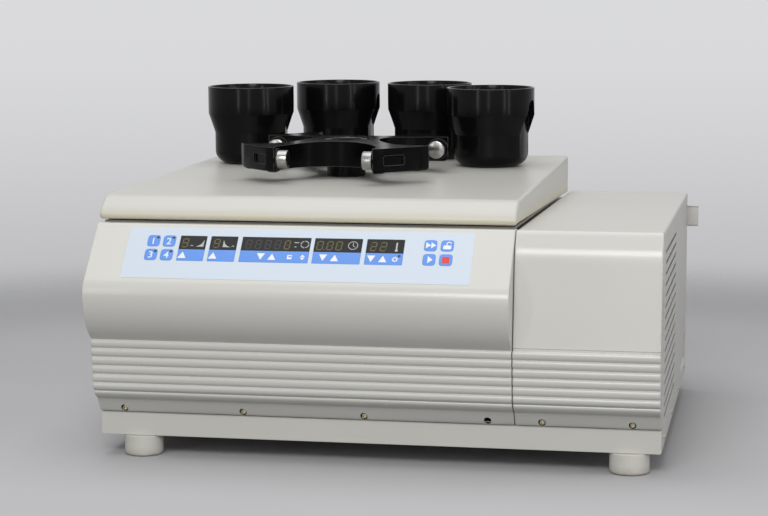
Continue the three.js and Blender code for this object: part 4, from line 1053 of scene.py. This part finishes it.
# Drive: a cast aluminium motor with ribs round it stands on a moulded rubber ring, and its ground
# steel spindle ends in a taper with a cross pin that the rotor's hub drops onto.
cast_aluminium = turned_metal("cast_aluminium", "#A9A9A8", "#98989A", 0.50, 0.004, 0.25)
ground_steel = turned_metal("ground_steel", "#ABAAA7", "#93928F", 0.22, 0.0008, 0.20)
mount = mesh_object("motor_mount_moulding", revolved([
    [54, 29.8], [84, 29.8], [83, 32], [80.4, 34.4], [80.4, 37.2], [81, 39.6], [80, 41.7], [58, 41.7],
    [56.6, 38], [54.6, 34],
], CHAMBER_X, CHAMBER_Y, 72, closed=True))
finished(mount, black_rubber, "cabinet", ["motor_mount_ring"])
fin_steps = ((72, 0), (72, 2.6), (69, 3.2), (69, 5.4))
fins = [[radius, z + rise] for z in np.arange(54, 94, 6.0) for radius, rise in fin_steps]
motor = mesh_object("drive_motor_casting", revolved(np.concatenate([
    [[0, 42], [86, 42], [86, 46.2], [85, 47], [72, 50]], fins,
    [[72, 98], [71, 100], [66, 103.6], [30, 104], [27.6, 112], [26, 119.4], [25, 120], [9.5, 120], [9.5, 54],
     [0, 54]],
]), CHAMBER_X, CHAMBER_Y, 96), sharp=28)
lathe_marks(motor, (CHAMBER_X, CHAMBER_Y, 0))
finished(motor, cast_aluminium, "cabinet", ["drive_motor"])
spindle = mesh_object("drive_spindle_turned", revolved([
    [0, 54.3], [9, 54.3], [9, 124], [14.4, 125], [15, 125.6], [15, 129.4], [14.4, 130], [10, 132], [7.5, 160],
    [7, 161.4], [6, 162], [0, 162],
], CHAMBER_X, CHAMBER_Y, 64))
carved(spindle, bar("x", circle(CHAMBER_Y, 136, 3, 32), CHAMBER_X - 17, CHAMBER_X + 17), operation="UNION")
lathe_marks(spindle, (CHAMBER_X, CHAMBER_Y, 0))
finished(spindle, ground_steel, "spindle", ["drive_spindle"], bevel=0.3)

# Cooling set behind the air slots: a black enamelled compressor, a finned condenser with its
# bracket, and a moulded five-blade fan.
black_enamel = new_material("black_enamel")
enamel_skin = textured(black_enamel, grain(black_enamel, 0.004), (0.20, 0.34), 0.15)
close_material(black_enamel, [("Base Color", colour("#161617")), *enamel_skin])
PUMP_X, PUMP_Y = 272, 190
pump = mesh_object("compressor_shell", merged(
    revolved(np.concatenate([
        [[0, 52]], curve(42, 72, 20, -90, 0, 10), [[62.4, 73.6], [64, 74.4], [64, 79.6], [62.4, 80.4]],
        curve(32, 188, 30, 0, 90, 12), [[0, 218]],
    ]), PUMP_X, PUMP_Y, 72),
    revolved([[0, 35], [34, 35], [34, 58], [0, 58]], PUMP_X, PUMP_Y, 48),
    bar("z", rounded_rectangle(PUMP_X - 70, PUMP_X + 70, PUMP_Y - 52, PUMP_Y + 52, 10), 29.8, 36),
))
finished(pump, black_enamel, "cabinet", ["compressor"])
FIN_PITCH = 0.0025
fin_pack = new_material("aluminium_fin_pack")
fin_place = add_node(fin_pack, "ShaderNodeTexCoord")
fin_lines = add_node(
    fin_pack, "ShaderNodeTexWave",
    [("Vector", fin_place.outputs["Object"]), ("Scale", 1 / (FIN_PITCH * 20 / pi)), ("Distortion", 0.4)],
    bands_direction="Y",
).outputs[0]
# The fins' edges are pale; the dark bands between them are painted shade for the gaps.
fin_and_gap_shade_tone = add_node(
    fin_pack, "ShaderNodeMix",
    [(0, fin_lines), (6, colour("#4C4C4D")), (7, colour("#B4B4B2"))], data_type="RGBA",
)
fin_skin = textured(fin_pack, fin_lines, 0.45, 0.6, 0.001)
close_material(fin_pack, [("Base Color", fin_and_gap_shade_tone.outputs[2]), ("Metallic", 1.0), *fin_skin])
dress("condenser", fin_pack)
FAN_X, FAN_Y, FAN_Z, TIP_R = 292.0, FRONT + 190, 172.0, 93
blade_r, blade_t = np.meshgrid(np.linspace(22, TIP_R, 12), np.linspace(-1, 1, 13), indexing="ij")
blade_width = 26 * (0.82 + 0.18 * blade_r / TIP_R)
blade_width *= np.sqrt(1 - np.clip((blade_r - 84) / 9.5, 0, 1) ** 2 * 0.6)
blade_side = blade_t * blade_width * cos(0.5)
blade_ahead = -blade_t * blade_width * sin(0.5) + 2.5 * (1 - blade_t ** 2)
fan_parts = [bar("x", circle(FAN_Y, FAN_Z, 26, 48), FAN_X - 14, FAN_X + 14)]
for turn in np.arange(5) * 2 * pi / 5:
    y = FAN_Y + blade_side * cos(turn) - blade_r * sin(turn)
    z = FAN_Z + blade_side * sin(turn) + blade_r * cos(turn)
    fan_parts.append(joined_faces(*[np.stack([FAN_X + blade_ahead + side, y, z], -1) for side in (1, -1)]))
fan = mesh_object("condenser_fan_moulding", merged(*fan_parts))
carved(fan, bar("x", circle(FAN_Y, FAN_Z, 5.3, 32), FAN_X - 20, 300.3))
finished(fan, black_nylon, "fan", ["condenser_fan"])

# Electronics: a folded box of rolled aluminium sheet that stands on the pan, and the circuit board
# behind the keypad, under green solder mask. The sheet's grain runs along X.
def patched(material, size, first, second, **settings):
    """A colour that changes in cells of a size in metres, with the distance from each cell's middle."""
    place = add_node(material, "ShaderNodeTexCoord")
    cells = add_node(
        material, "ShaderNodeTexVoronoi",
        [("Vector", place.outputs["Object"]), ("Scale", 1 / size)], **settings,
    )
    return add_node(
        material, "ShaderNodeMix",
        [(0, cells.outputs["Distance"]), (6, colour(first)), (7, colour(second))], data_type="RGBA",
    ).outputs[2]


rolled_sheet = new_material("rolled_aluminium_sheet")
rolled_place = add_node(rolled_sheet, "ShaderNodeTexCoord")
rolled_stretch = add_node(
    rolled_sheet, "ShaderNodeMapping", [("Vector", rolled_place.outputs["Object"]), ("Scale", (40, 900, 900))]
)
rolled_grain = add_node(
    rolled_sheet, "ShaderNodeTexNoise", [("Vector", rolled_stretch.outputs[0]), ("Scale", 1.0)]
)
rolled_shine = add_node(
    rolled_sheet, "ShaderNodeMapRange", [("Value", rolled_grain.outputs[0]), ("To Min", 0.3), ("To Max", 0.5)]
)
dress("drive_electronics", close_material(rolled_sheet, [
    ("Base Color", colour("#BEBEBD")), ("Metallic", 1.0), ("Roughness", rolled_shine.outputs[0]),
]))
solder_mask = new_material("green_solder_mask")
mask_tone = patched(solder_mask, 0.006, "#1F5A34", "#2F7A48", distance="CHEBYCHEV")
dress("control_board", close_material(solder_mask, [("Base Color", mask_tone), ("Roughness", 0.35)]))


# Lid: one deep-drawn steel pressing, open below, that falls forward by two degrees. Its front
# rolls over to a rounded bead, tinted cream low down as a painted highlight, and the side edges have a soft
# bend.
LID_LEFT, LID_RIGHT, LID_REAR = LEFT - 0.5, 178.4, FRONT + 633
LID_SLOPE = radians(2.02)
LID_FOLD_Y, LID_FOLD_Z = FRONT + 28.3, 335.9
ROLL_Y, ROLL_R = FRONT + 38, 28.0


def lid_top(y):
    """The height of the lid's top, a plane that rises backwards from the front fold."""
    return LID_FOLD_Z + (y - LID_FOLD_Y) * tan(LID_SLOPE)


roll_z = lid_top(ROLL_Y) - ROLL_R
rear_z = lid_top(LID_REAR)
bead_y, bead_z, bead_r = FRONT + 8.7, 311.9, 5.6
top_line = np.linspace(LID_REAR - 6, ROLL_Y + 2, 9)


def eased(start, start_way, end, end_way, steps):
    """A cubic from start to end that leaves and arrives along the given ways, both as long as the chord."""
    start, end = np.asarray(start, float), np.asarray(end, float)
    chord = np.linalg.norm(end - start)
    t = np.linspace(0, 1, steps)[:, None]
    return (
        (2 * t ** 3 - 3 * t ** 2 + 1) * start + (t ** 3 - 2 * t ** 2 + t) * chord * np.asarray(start_way)
        + (3 * t ** 2 - 2 * t ** 3) * end + (t ** 3 - t ** 2) * chord * np.asarray(end_way)
    )


ROLL_END, BEAD_START = 128.0, 155.0
roll_end = curve(ROLL_Y, roll_z, ROLL_R, ROLL_END, ROLL_END, 1)[0]
roll_end_inside = curve(ROLL_Y, roll_z, ROLL_R - 3, ROLL_END, ROLL_END, 1)[0]
bead_start = curve(bead_y, bead_z, bead_r, BEAD_START, BEAD_START, 1)[0]
roll_way, bead_way = [(-sin(radians(turn)), cos(radians(turn))) for turn in (ROLL_END, BEAD_START)]
apron = eased(roll_end, roll_way, bead_start, bead_way, 14)[1:-1]
lid_outer, lid_inner = outline_pair([
    [np.array([[y, 302.8], [y, 318], [y, rear_z - drop]])
     for y, drop in ((LID_REAR, 5), (LID_REAR - 2.4, 6.4))],
    (curve(LID_REAR - 4, rear_z - 4.1, 4, 20, 88, 5), curve(LID_REAR - 5.4, rear_z - 6.2, 3, 20, 88, 5)),
    (np.stack([top_line, lid_top(top_line)], 1), np.stack([top_line, lid_top(top_line) - 3.4], 1)),
    (curve(ROLL_Y, roll_z, ROLL_R, 92, ROLL_END, 12), curve(ROLL_Y, roll_z, ROLL_R - 3, 92, ROLL_END, 12)),
    (apron, np.linspace(roll_end_inside, (FRONT + 13.0, 317.0), 14)[1:-1]),
    (curve(bead_y, bead_z, bead_r, BEAD_START, 262, 14),
     np.stack([np.full(14, FRONT + 13.0), np.linspace(317.0, 306.3, 14)], 1)),
])
lid_grid, lid_inside, _ = carried(lid_outer, lid_inner, LID_LEFT, LID_RIGHT, 3.6)
lid = mesh_object("lid_shell_pressing", joined_faces(lid_grid, lid_inside, capped=True), sharp=38)
EAR_X = (-290.0, 110.0)
STRUT_TOP_Z = 314.0
carved(lid, *[box(x - 10, x + 10, LID_REAR - 4, LID_REAR + 2, 300, 322) for x in EAR_X], sharp=38)
strut_boss = bar("x", circle(strut_foot_y, STRUT_TOP_Z, 6, 32), LID_LEFT + 1, strut_x - 4.6)
carved(lid, strut_boss, operation="UNION", sharp=38)
# The bead turns cream below 321 mm: a painted highlight.
lid_paint = powder_coat("off_white_lid_paint", "#D3D2CB", "#CECDC5", 0.36, ("#D9D3BE", 0.310, 0.321))
finished(lid, lid_paint, "lid", ["lid_shell"])

# Lid liner: a sheet of grey painted steel that closes the lid from below, on two ribs that join it
# to the pressing, with a rolled ring that presses on the seal.
liner_paint = powder_coat("grey_liner_paint", "#B4B4AE", "#ADADA7", 0.45)
liner_outline = [
    [LID_LEFT + 3.5, FRONT + 16], [LID_RIGHT - 3.5, FRONT + 16], [LID_RIGHT - 3.5, FRONT + 592],
    [strut_x + 13, FRONT + 592], [strut_x + 13, FRONT + 540], [LID_LEFT + 3.5, FRONT + 540],
]
liner = mesh_object("lid_liner_sheet", merged(
    bar("z", liner_outline, 301, 304),
    revolved(np.concatenate([
        [[BOWL_R + 8, 302], [BOWL_R + 8, 301.2]], curve(BOWL_R + 9, 301.7, 1, 180, 270, 4),
        curve(BOWL_R + 24, 301.7, 1, 270, 360, 4), [[BOWL_R + 25, 302]],
    ]), CHAMBER_X, CHAMBER_Y, 128, closed=True),
    *[box(x - 3, x + 3, FRONT + 60, FRONT + 560, 303, 322) for x in (-240, 60)],
))
finished(liner, liner_paint, "lid", ["lid_liner"])

# Hinge and lock: a drawn steel rod through the deck's ears, the lid's zinc-plated frame with its
# cheeks, the striker plate under the lid's front and the bolt that slides into its window.
plated_steel = new_material("zinc_plated_steel")
plated_tone = patched(plated_steel, 0.008, "#B6B6B4", "#9E9EA0")
close_material(plated_steel, [("Base Color", plated_tone), ("Metallic", 1.0), ("Roughness", 0.38)])
for node in ("lid_hinge_frame", "lid_striker", "lid_lock_bolt"):
    dress(node, plated_steel)
HINGE_Y, HINGE_Z = FRONT + 624, 308.0
hinge = mesh_object("hinge_rod_drawn", bar("x", circle(HINGE_Y, HINGE_Z, 4, 40), -312, 132))
lathe_marks(hinge, (0, HINGE_Y, HINGE_Z), (1, 0, 0))
finished(hinge, ground_steel, "cabinet", ["hinge_rod"], bevel=0.5)


# Gas strut: a black enamelled steel tube on the pan's stud, and a ground rod that slides in it and
# reaches up to the boss in the lid. Each ends in a flat eye.
def strut_eye(piece, z, radius, half_width):
    """Joins an eye to a part of the strut and bores it through."""
    carved(piece, bar("x", circle(strut_foot_y, z, radius, 40), strut_x - half_width, strut_x + half_width),
           operation="UNION")
    carved(piece, bar("x", circle(strut_foot_y, z, 4.3, 32), strut_x - radius, strut_x + radius))


tube = mesh_object("gas_strut_tube", revolved(np.concatenate([
    curve(6, strut_foot_z + 6, 2, 270, 360, 4), curve(6.5, strut_foot_z + 120.5, 1.5, 0, 90, 4),
    [[4.4, strut_foot_z + 122], [4.4, strut_foot_z + 14], [0, strut_foot_z + 14], [0, strut_foot_z + 4]],
]), strut_x, strut_foot_y, 40, closed=True))
strut_eye(tube, strut_foot_z, 9, 4)
finished(tube, black_enamel, "strut_tube", ["strut_cylinder"], bevel=0.3)
strut_rod = mesh_object("gas_strut_rod", revolved([
    [0, strut_foot_z + 18], [4, strut_foot_z + 18], [4, STRUT_TOP_Z - 4], [0, STRUT_TOP_Z - 4],
], strut_x, strut_foot_y, 40))
strut_eye(strut_rod, STRUT_TOP_Z, 8, 3)
lathe_marks(strut_rod, (strut_x, strut_foot_y, 0))
finished(strut_rod, ground_steel, "strut_piston", ["strut_rod"], bevel=0.3)


# Rotor: a swing-out cross milled from one forging and anodised black, which stands on the lid with
# its hub down. Four round seats leave four arms, whose heads carry lugs for the trunnion pins.
def on_lid(surface, x, y, turn=0.0):
    """Turns a shape about Z, sets it at (x, y) on the lid's top, and tilts it with the lid."""
    points, faces = surface
    px, py, pz = np.asarray(points, float).T
    c, s = cos(radians(turn)), sin(radians(turn))
    px, py, pz = x + px * c - py * s, y + px * s + py * c, pz + 0.3
    return np.stack([
        LEFT + px, LID_FOLD_Y + py * cos(LID_SLOPE) - pz * sin(LID_SLOPE),
        LID_FOLD_Z + py * sin(LID_SLOPE) + pz * cos(LID_SLOPE),
    ], 1), faces


def lid_axis(x, y):
    """The foot and the direction of an axis that stands square on the lid at (x, y)."""
    ends, _ = on_lid((np.array([[0, 0, 0], [0, 0, 100.0]]), []), x, y)
    return ends[0], ends[1] - ends[0]


def anodised(name, base, handled, edge, gloss, pitch, relief, ior):
    """Black anodised aluminium: a dyed glassy oxide over fine tool marks, a little paler where handled,
    with a painted highlight of grey along its edges, drawn 1.1 mm wide, for the light that rounded
    edges catch. An edge is where the rounded normal and the face's own disagree."""
    finish = new_material(name)
    face = add_node(finish, "ShaderNodeNewGeometry")
    softened = add_node(finish, "ShaderNodeBevel", [("Radius", 0.0011)], samples=6)
    agreement = add_node(
        finish, "ShaderNodeVectorMath", [(0, softened.outputs[0]), (1, face.outputs["Normal"])],
        operation="DOT_PRODUCT",
    )
    # Painted highlight: the edge colour is mixed in where the rounded normal and the face's own disagree.
    edge_highlight_share = add_node(
        finish, "ShaderNodeMapRange",
        [("Value", agreement.outputs["Value"]), ("From Min", 0.99), ("From Max", 0.86), ("To Max", 0.85)],
    )
    tone = add_node(
        finish, "ShaderNodeMix",
        [(0, edge_highlight_share.outputs[0]), (6, clouded(finish, 0.03, base, handled, 4.0)), (7, colour(edge))],
        data_type="RGBA",
    )
    skin = textured(finish, ring_marks(finish, pitch, 2.0), (gloss - 0.05, gloss + 0.07), relief, 0.0002)
    return close_material(finish, [("Base Color", tone.outputs[2]), ("IOR", ior), *skin])


ROTOR_X, ROTOR_Y, ROTOR_TURN = 261.5, 271.2, -1.9
ARM_REACH, ARM_SWEEP, SEAT_R, SEAT_HALF = 145.0, 148.2, 117.0, 68.0
ROTOR_UNDER, ROTOR_TOP, HUB_TOP, LUG_UNDER, PIN_Z = 17.0, 49.5, 52.0, 15.3, 32.4


def quarter(surface, count):
    """Turns a shape about Z by a number of exact quarter turns."""
    points, faces = surface
    c, s = ((1, 0), (0, 1), (-1, 0), (0, -1))[count]
    x, y, z = np.asarray(points, float).T
    return np.stack([x * c - y * s, x * s + y * c, z], 1), faces


def four_times(*shapes):
    """The shapes at one seat, repeated at all four."""
    return merged(*[quarter(shape, count) for count in range(4) for shape in shapes])


reach = ARM_REACH * sqrt(2)
rotor = mesh_object("rotor_cross_forging", bar(
    "z", [[reach, 0], [0, reach], [-reach, 0], [0, -reach]], ROTOR_UNDER, HUB_TOP + 3))
seat_line = np.concatenate([curve(SEAT_R, 0, SEAT_HALF, 90, 270, 65), [[260, -SEAT_HALF], [260, SEAT_HALF]]])
carved(rotor, four_times(bar("z", seat_line, 5, 70)))
LUG_OUTER = SEAT_HALF + 11.3
carved(rotor, four_times(*[
    box(SEAT_R - 14, SEAT_R + 26, y0, y1, LUG_UNDER, ROTOR_TOP - 6)
    for y0, y1 in ((-LUG_OUTER, -SEAT_HALF), (SEAT_HALF, LUG_OUTER))
]), operation="UNION")
carved(rotor, four_times(*[
    bar("y", circle(SEAT_R, PIN_Z, 14.8, 48), y0, y1) for y0, y1 in ((-70, -65.4), (65.4, 70))
]), operation="UNION")
carved(rotor, revolved(np.concatenate([
    [[0, LUG_UNDER - 5], [ARM_SWEEP - 10, LUG_UNDER - 5]], curve(ARM_SWEEP - 6, LUG_UNDER + 6, 6, -90, 0, 6),
    [[ARM_SWEEP, ROTOR_TOP], [105, ROTOR_TOP], [49, HUB_TOP], [34, HUB_TOP], [33.4, 49.8], [0, 49.8]],
]), steps=180), operation="INTERSECT")
carved(rotor, revolved([
    [0, 0], [25.9, 0], [26.9, 1], [26.9, ROTOR_UNDER + 1], [15, ROTOR_UNDER + 4], [15, 49], [23.8, 49],
    [23.8, 50.7], [23.5, 51], [0, 51],
], steps=72), operation="UNION")
pocket_line = rounded_rectangle(-16.5, 16.5, 26, 39.5, 3.0, 5)
pockets = []
for arm, shift in ((-45, -13), (-135, 13), (45, 13), (135, -13)):
    points, faces = bar("x", pocket_line, ARM_REACH - 3, ARM_REACH + 3)
    x, y, z = points.T
    c, s = cos(radians(arm)), sin(radians(arm))
    pockets.append((np.stack([x * c - (y + shift) * s, x * s + (y + shift) * c, z], 1), faces))
carved(rotor, merged(*pockets))
carved(rotor, revolved([[0, -1], [9.6, -1], [9.6, 60], [0, 60]], steps=64))
placed, _ = on_lid((points_of(rotor.data) * 1000, []), ROTOR_X, ROTOR_Y, ROTOR_TURN)
lathe_marks(rotor, (0, 0, 0))
rotor.data.vertices.foreach_set("co", (placed / 1000).ravel())
# The last colour is the painted highlight along the rotor's edges.
milled_black = anodised(
    "black_anodised_milled_aluminium", "#040405", "#080809", "#626364",
    gloss=0.22, pitch=0.003, relief=0.05, ior=1.17,
)
finished(rotor, milled_black, "rotor", ["rotor_cross"], bevel=0.8)
hub_ring = mesh_object("rotor_hub_ring", on_lid(revolved(
    [[24, 49.7], [30, 49.7], [30, 50.6], [29.5, 51.05], [24.4, 51.05], [24, 50.8]], steps=72, closed=True,
), ROTOR_X, ROTOR_Y))
lathe_marks(hub_ring, *lid_axis(ROTOR_X, ROTOR_Y))
finished(hub_ring, ground_steel, "rotor")

# Trunnion pins: eight short ground steel studs, pressed into the lugs, with a chamfer and a turned
# face. Each one's rings follow its own axis.
PIN_R, PIN_FACE, DISC_LENGTH, PIN_LENGTH = 12.4, 51.7, 13.4, 24.8
pin_line = np.array([
    [0, 0], [PIN_R - 1.5, 0], [PIN_R - 0.4, 0.5], [PIN_R, 1.4], [PIN_R, DISC_LENGTH],
    [5, DISC_LENGTH], [5, PIN_LENGTH], [0, PIN_LENGTH],
]) + [0, PIN_FACE]
for count, seat_name in enumerate(("right", "rear", "left", "front")):
    for end, side in (("a", -1), ("b", 1)):
        node = f"trunnion_pin_{seat_name}_{end}"
        stud, ends = [
            on_lid(quarter(shape, count), ROTOR_X, ROTOR_Y, ROTOR_TURN) for shape in (
                turned_at(pin_line, (SEAT_R, 0, PIN_Z), (0, side, 0), 48),
                ([[SEAT_R, 0, PIN_Z], [SEAT_R, side * 60, PIN_Z]], []),
            )
        ]
        pin = mesh_object(node + "_turned", stud)
        lathe_marks(pin, ends[0][0], ends[0][1] - ends[0][0])
        finished(pin, ground_steel, "rotor", [node])

# Buckets: four round buckets turned from solid aluminium and anodised glossy black, with a wide
# collar. A milled slot on two opposite sides ends in the half-round socket for a trunnion pin.
BUCKET_RIM, BUCKET_BODY, BUCKET_HEIGHT, BUCKET_FOOT_R = 63.7, 54.8, 113.8, 20
SLOT_FLOOR, SLOT_HALF, SOCKET_R, SOCKET_Z, CAVITY_R = 51.2, 19.5, 12.7, 83.8, 46.5
bucket_outline = np.concatenate([
    [[0, 0]], curve(BUCKET_BODY - BUCKET_FOOT_R, BUCKET_FOOT_R, BUCKET_FOOT_R, -90, 0, 12),
    [[BUCKET_BODY, 46]], curve(BUCKET_BODY + 3, 46, 3, 180, 160, 3),
    curve(BUCKET_RIM - 3, 74.5, 3, -20, 0, 3),
    curve(BUCKET_RIM - 1, BUCKET_HEIGHT - 1, 1, 0, 90, 4),
    curve(BUCKET_RIM - 3.2, BUCKET_HEIGHT - 0.6, 0.6, 90, 180, 3), [[BUCKET_RIM - 4.6, 101]],
    curve(CAVITY_R + 1, 98.9, 1, 90, 180, 3), curve(CAVITY_R - 9, 15, 9, 0, -90, 8), [[0, 6]],
])
slot_line = np.concatenate([
    [[-SLOT_HALF, -1], [SLOT_HALF, -1], [SLOT_HALF, 69]], curve(0, SOCKET_Z, SOCKET_R, 0, 180, 25),
    [[-SLOT_HALF, 69]],
])
slots = merged(bar("x", slot_line, SLOT_FLOOR, 80), bar("x", slot_line, -80, -SLOT_FLOOR))
# The last colour is the painted highlight along the buckets' edges.
glossy_black = anodised(
    "black_anodised_turned_aluminium", "#09090A", "#101011", "#4A4B4C",
    gloss=0.16, pitch=0.0016, relief=0.04, ior=1.22,
)
for side, x, y, turn in (
    ("left", 79.8, 447.1, 4), ("back_left", 188.7, 560.4, -1.5),
    ("back_right", 333.7, 545.1, 3), ("right", 441.4, 440.4, -11.5),
):
    bucket = mesh_object(f"bucket_{side}_turned", on_lid(revolved(bucket_outline, steps=120), x, y, turn))
    carved(bucket, on_lid(slots, x, y, turn))
    lathe_marks(bucket, *lid_axis(x, y))
    finished(bucket, glossy_black, f"{side}_bucket", [f"bucket_{side}"], bevel=0.35)
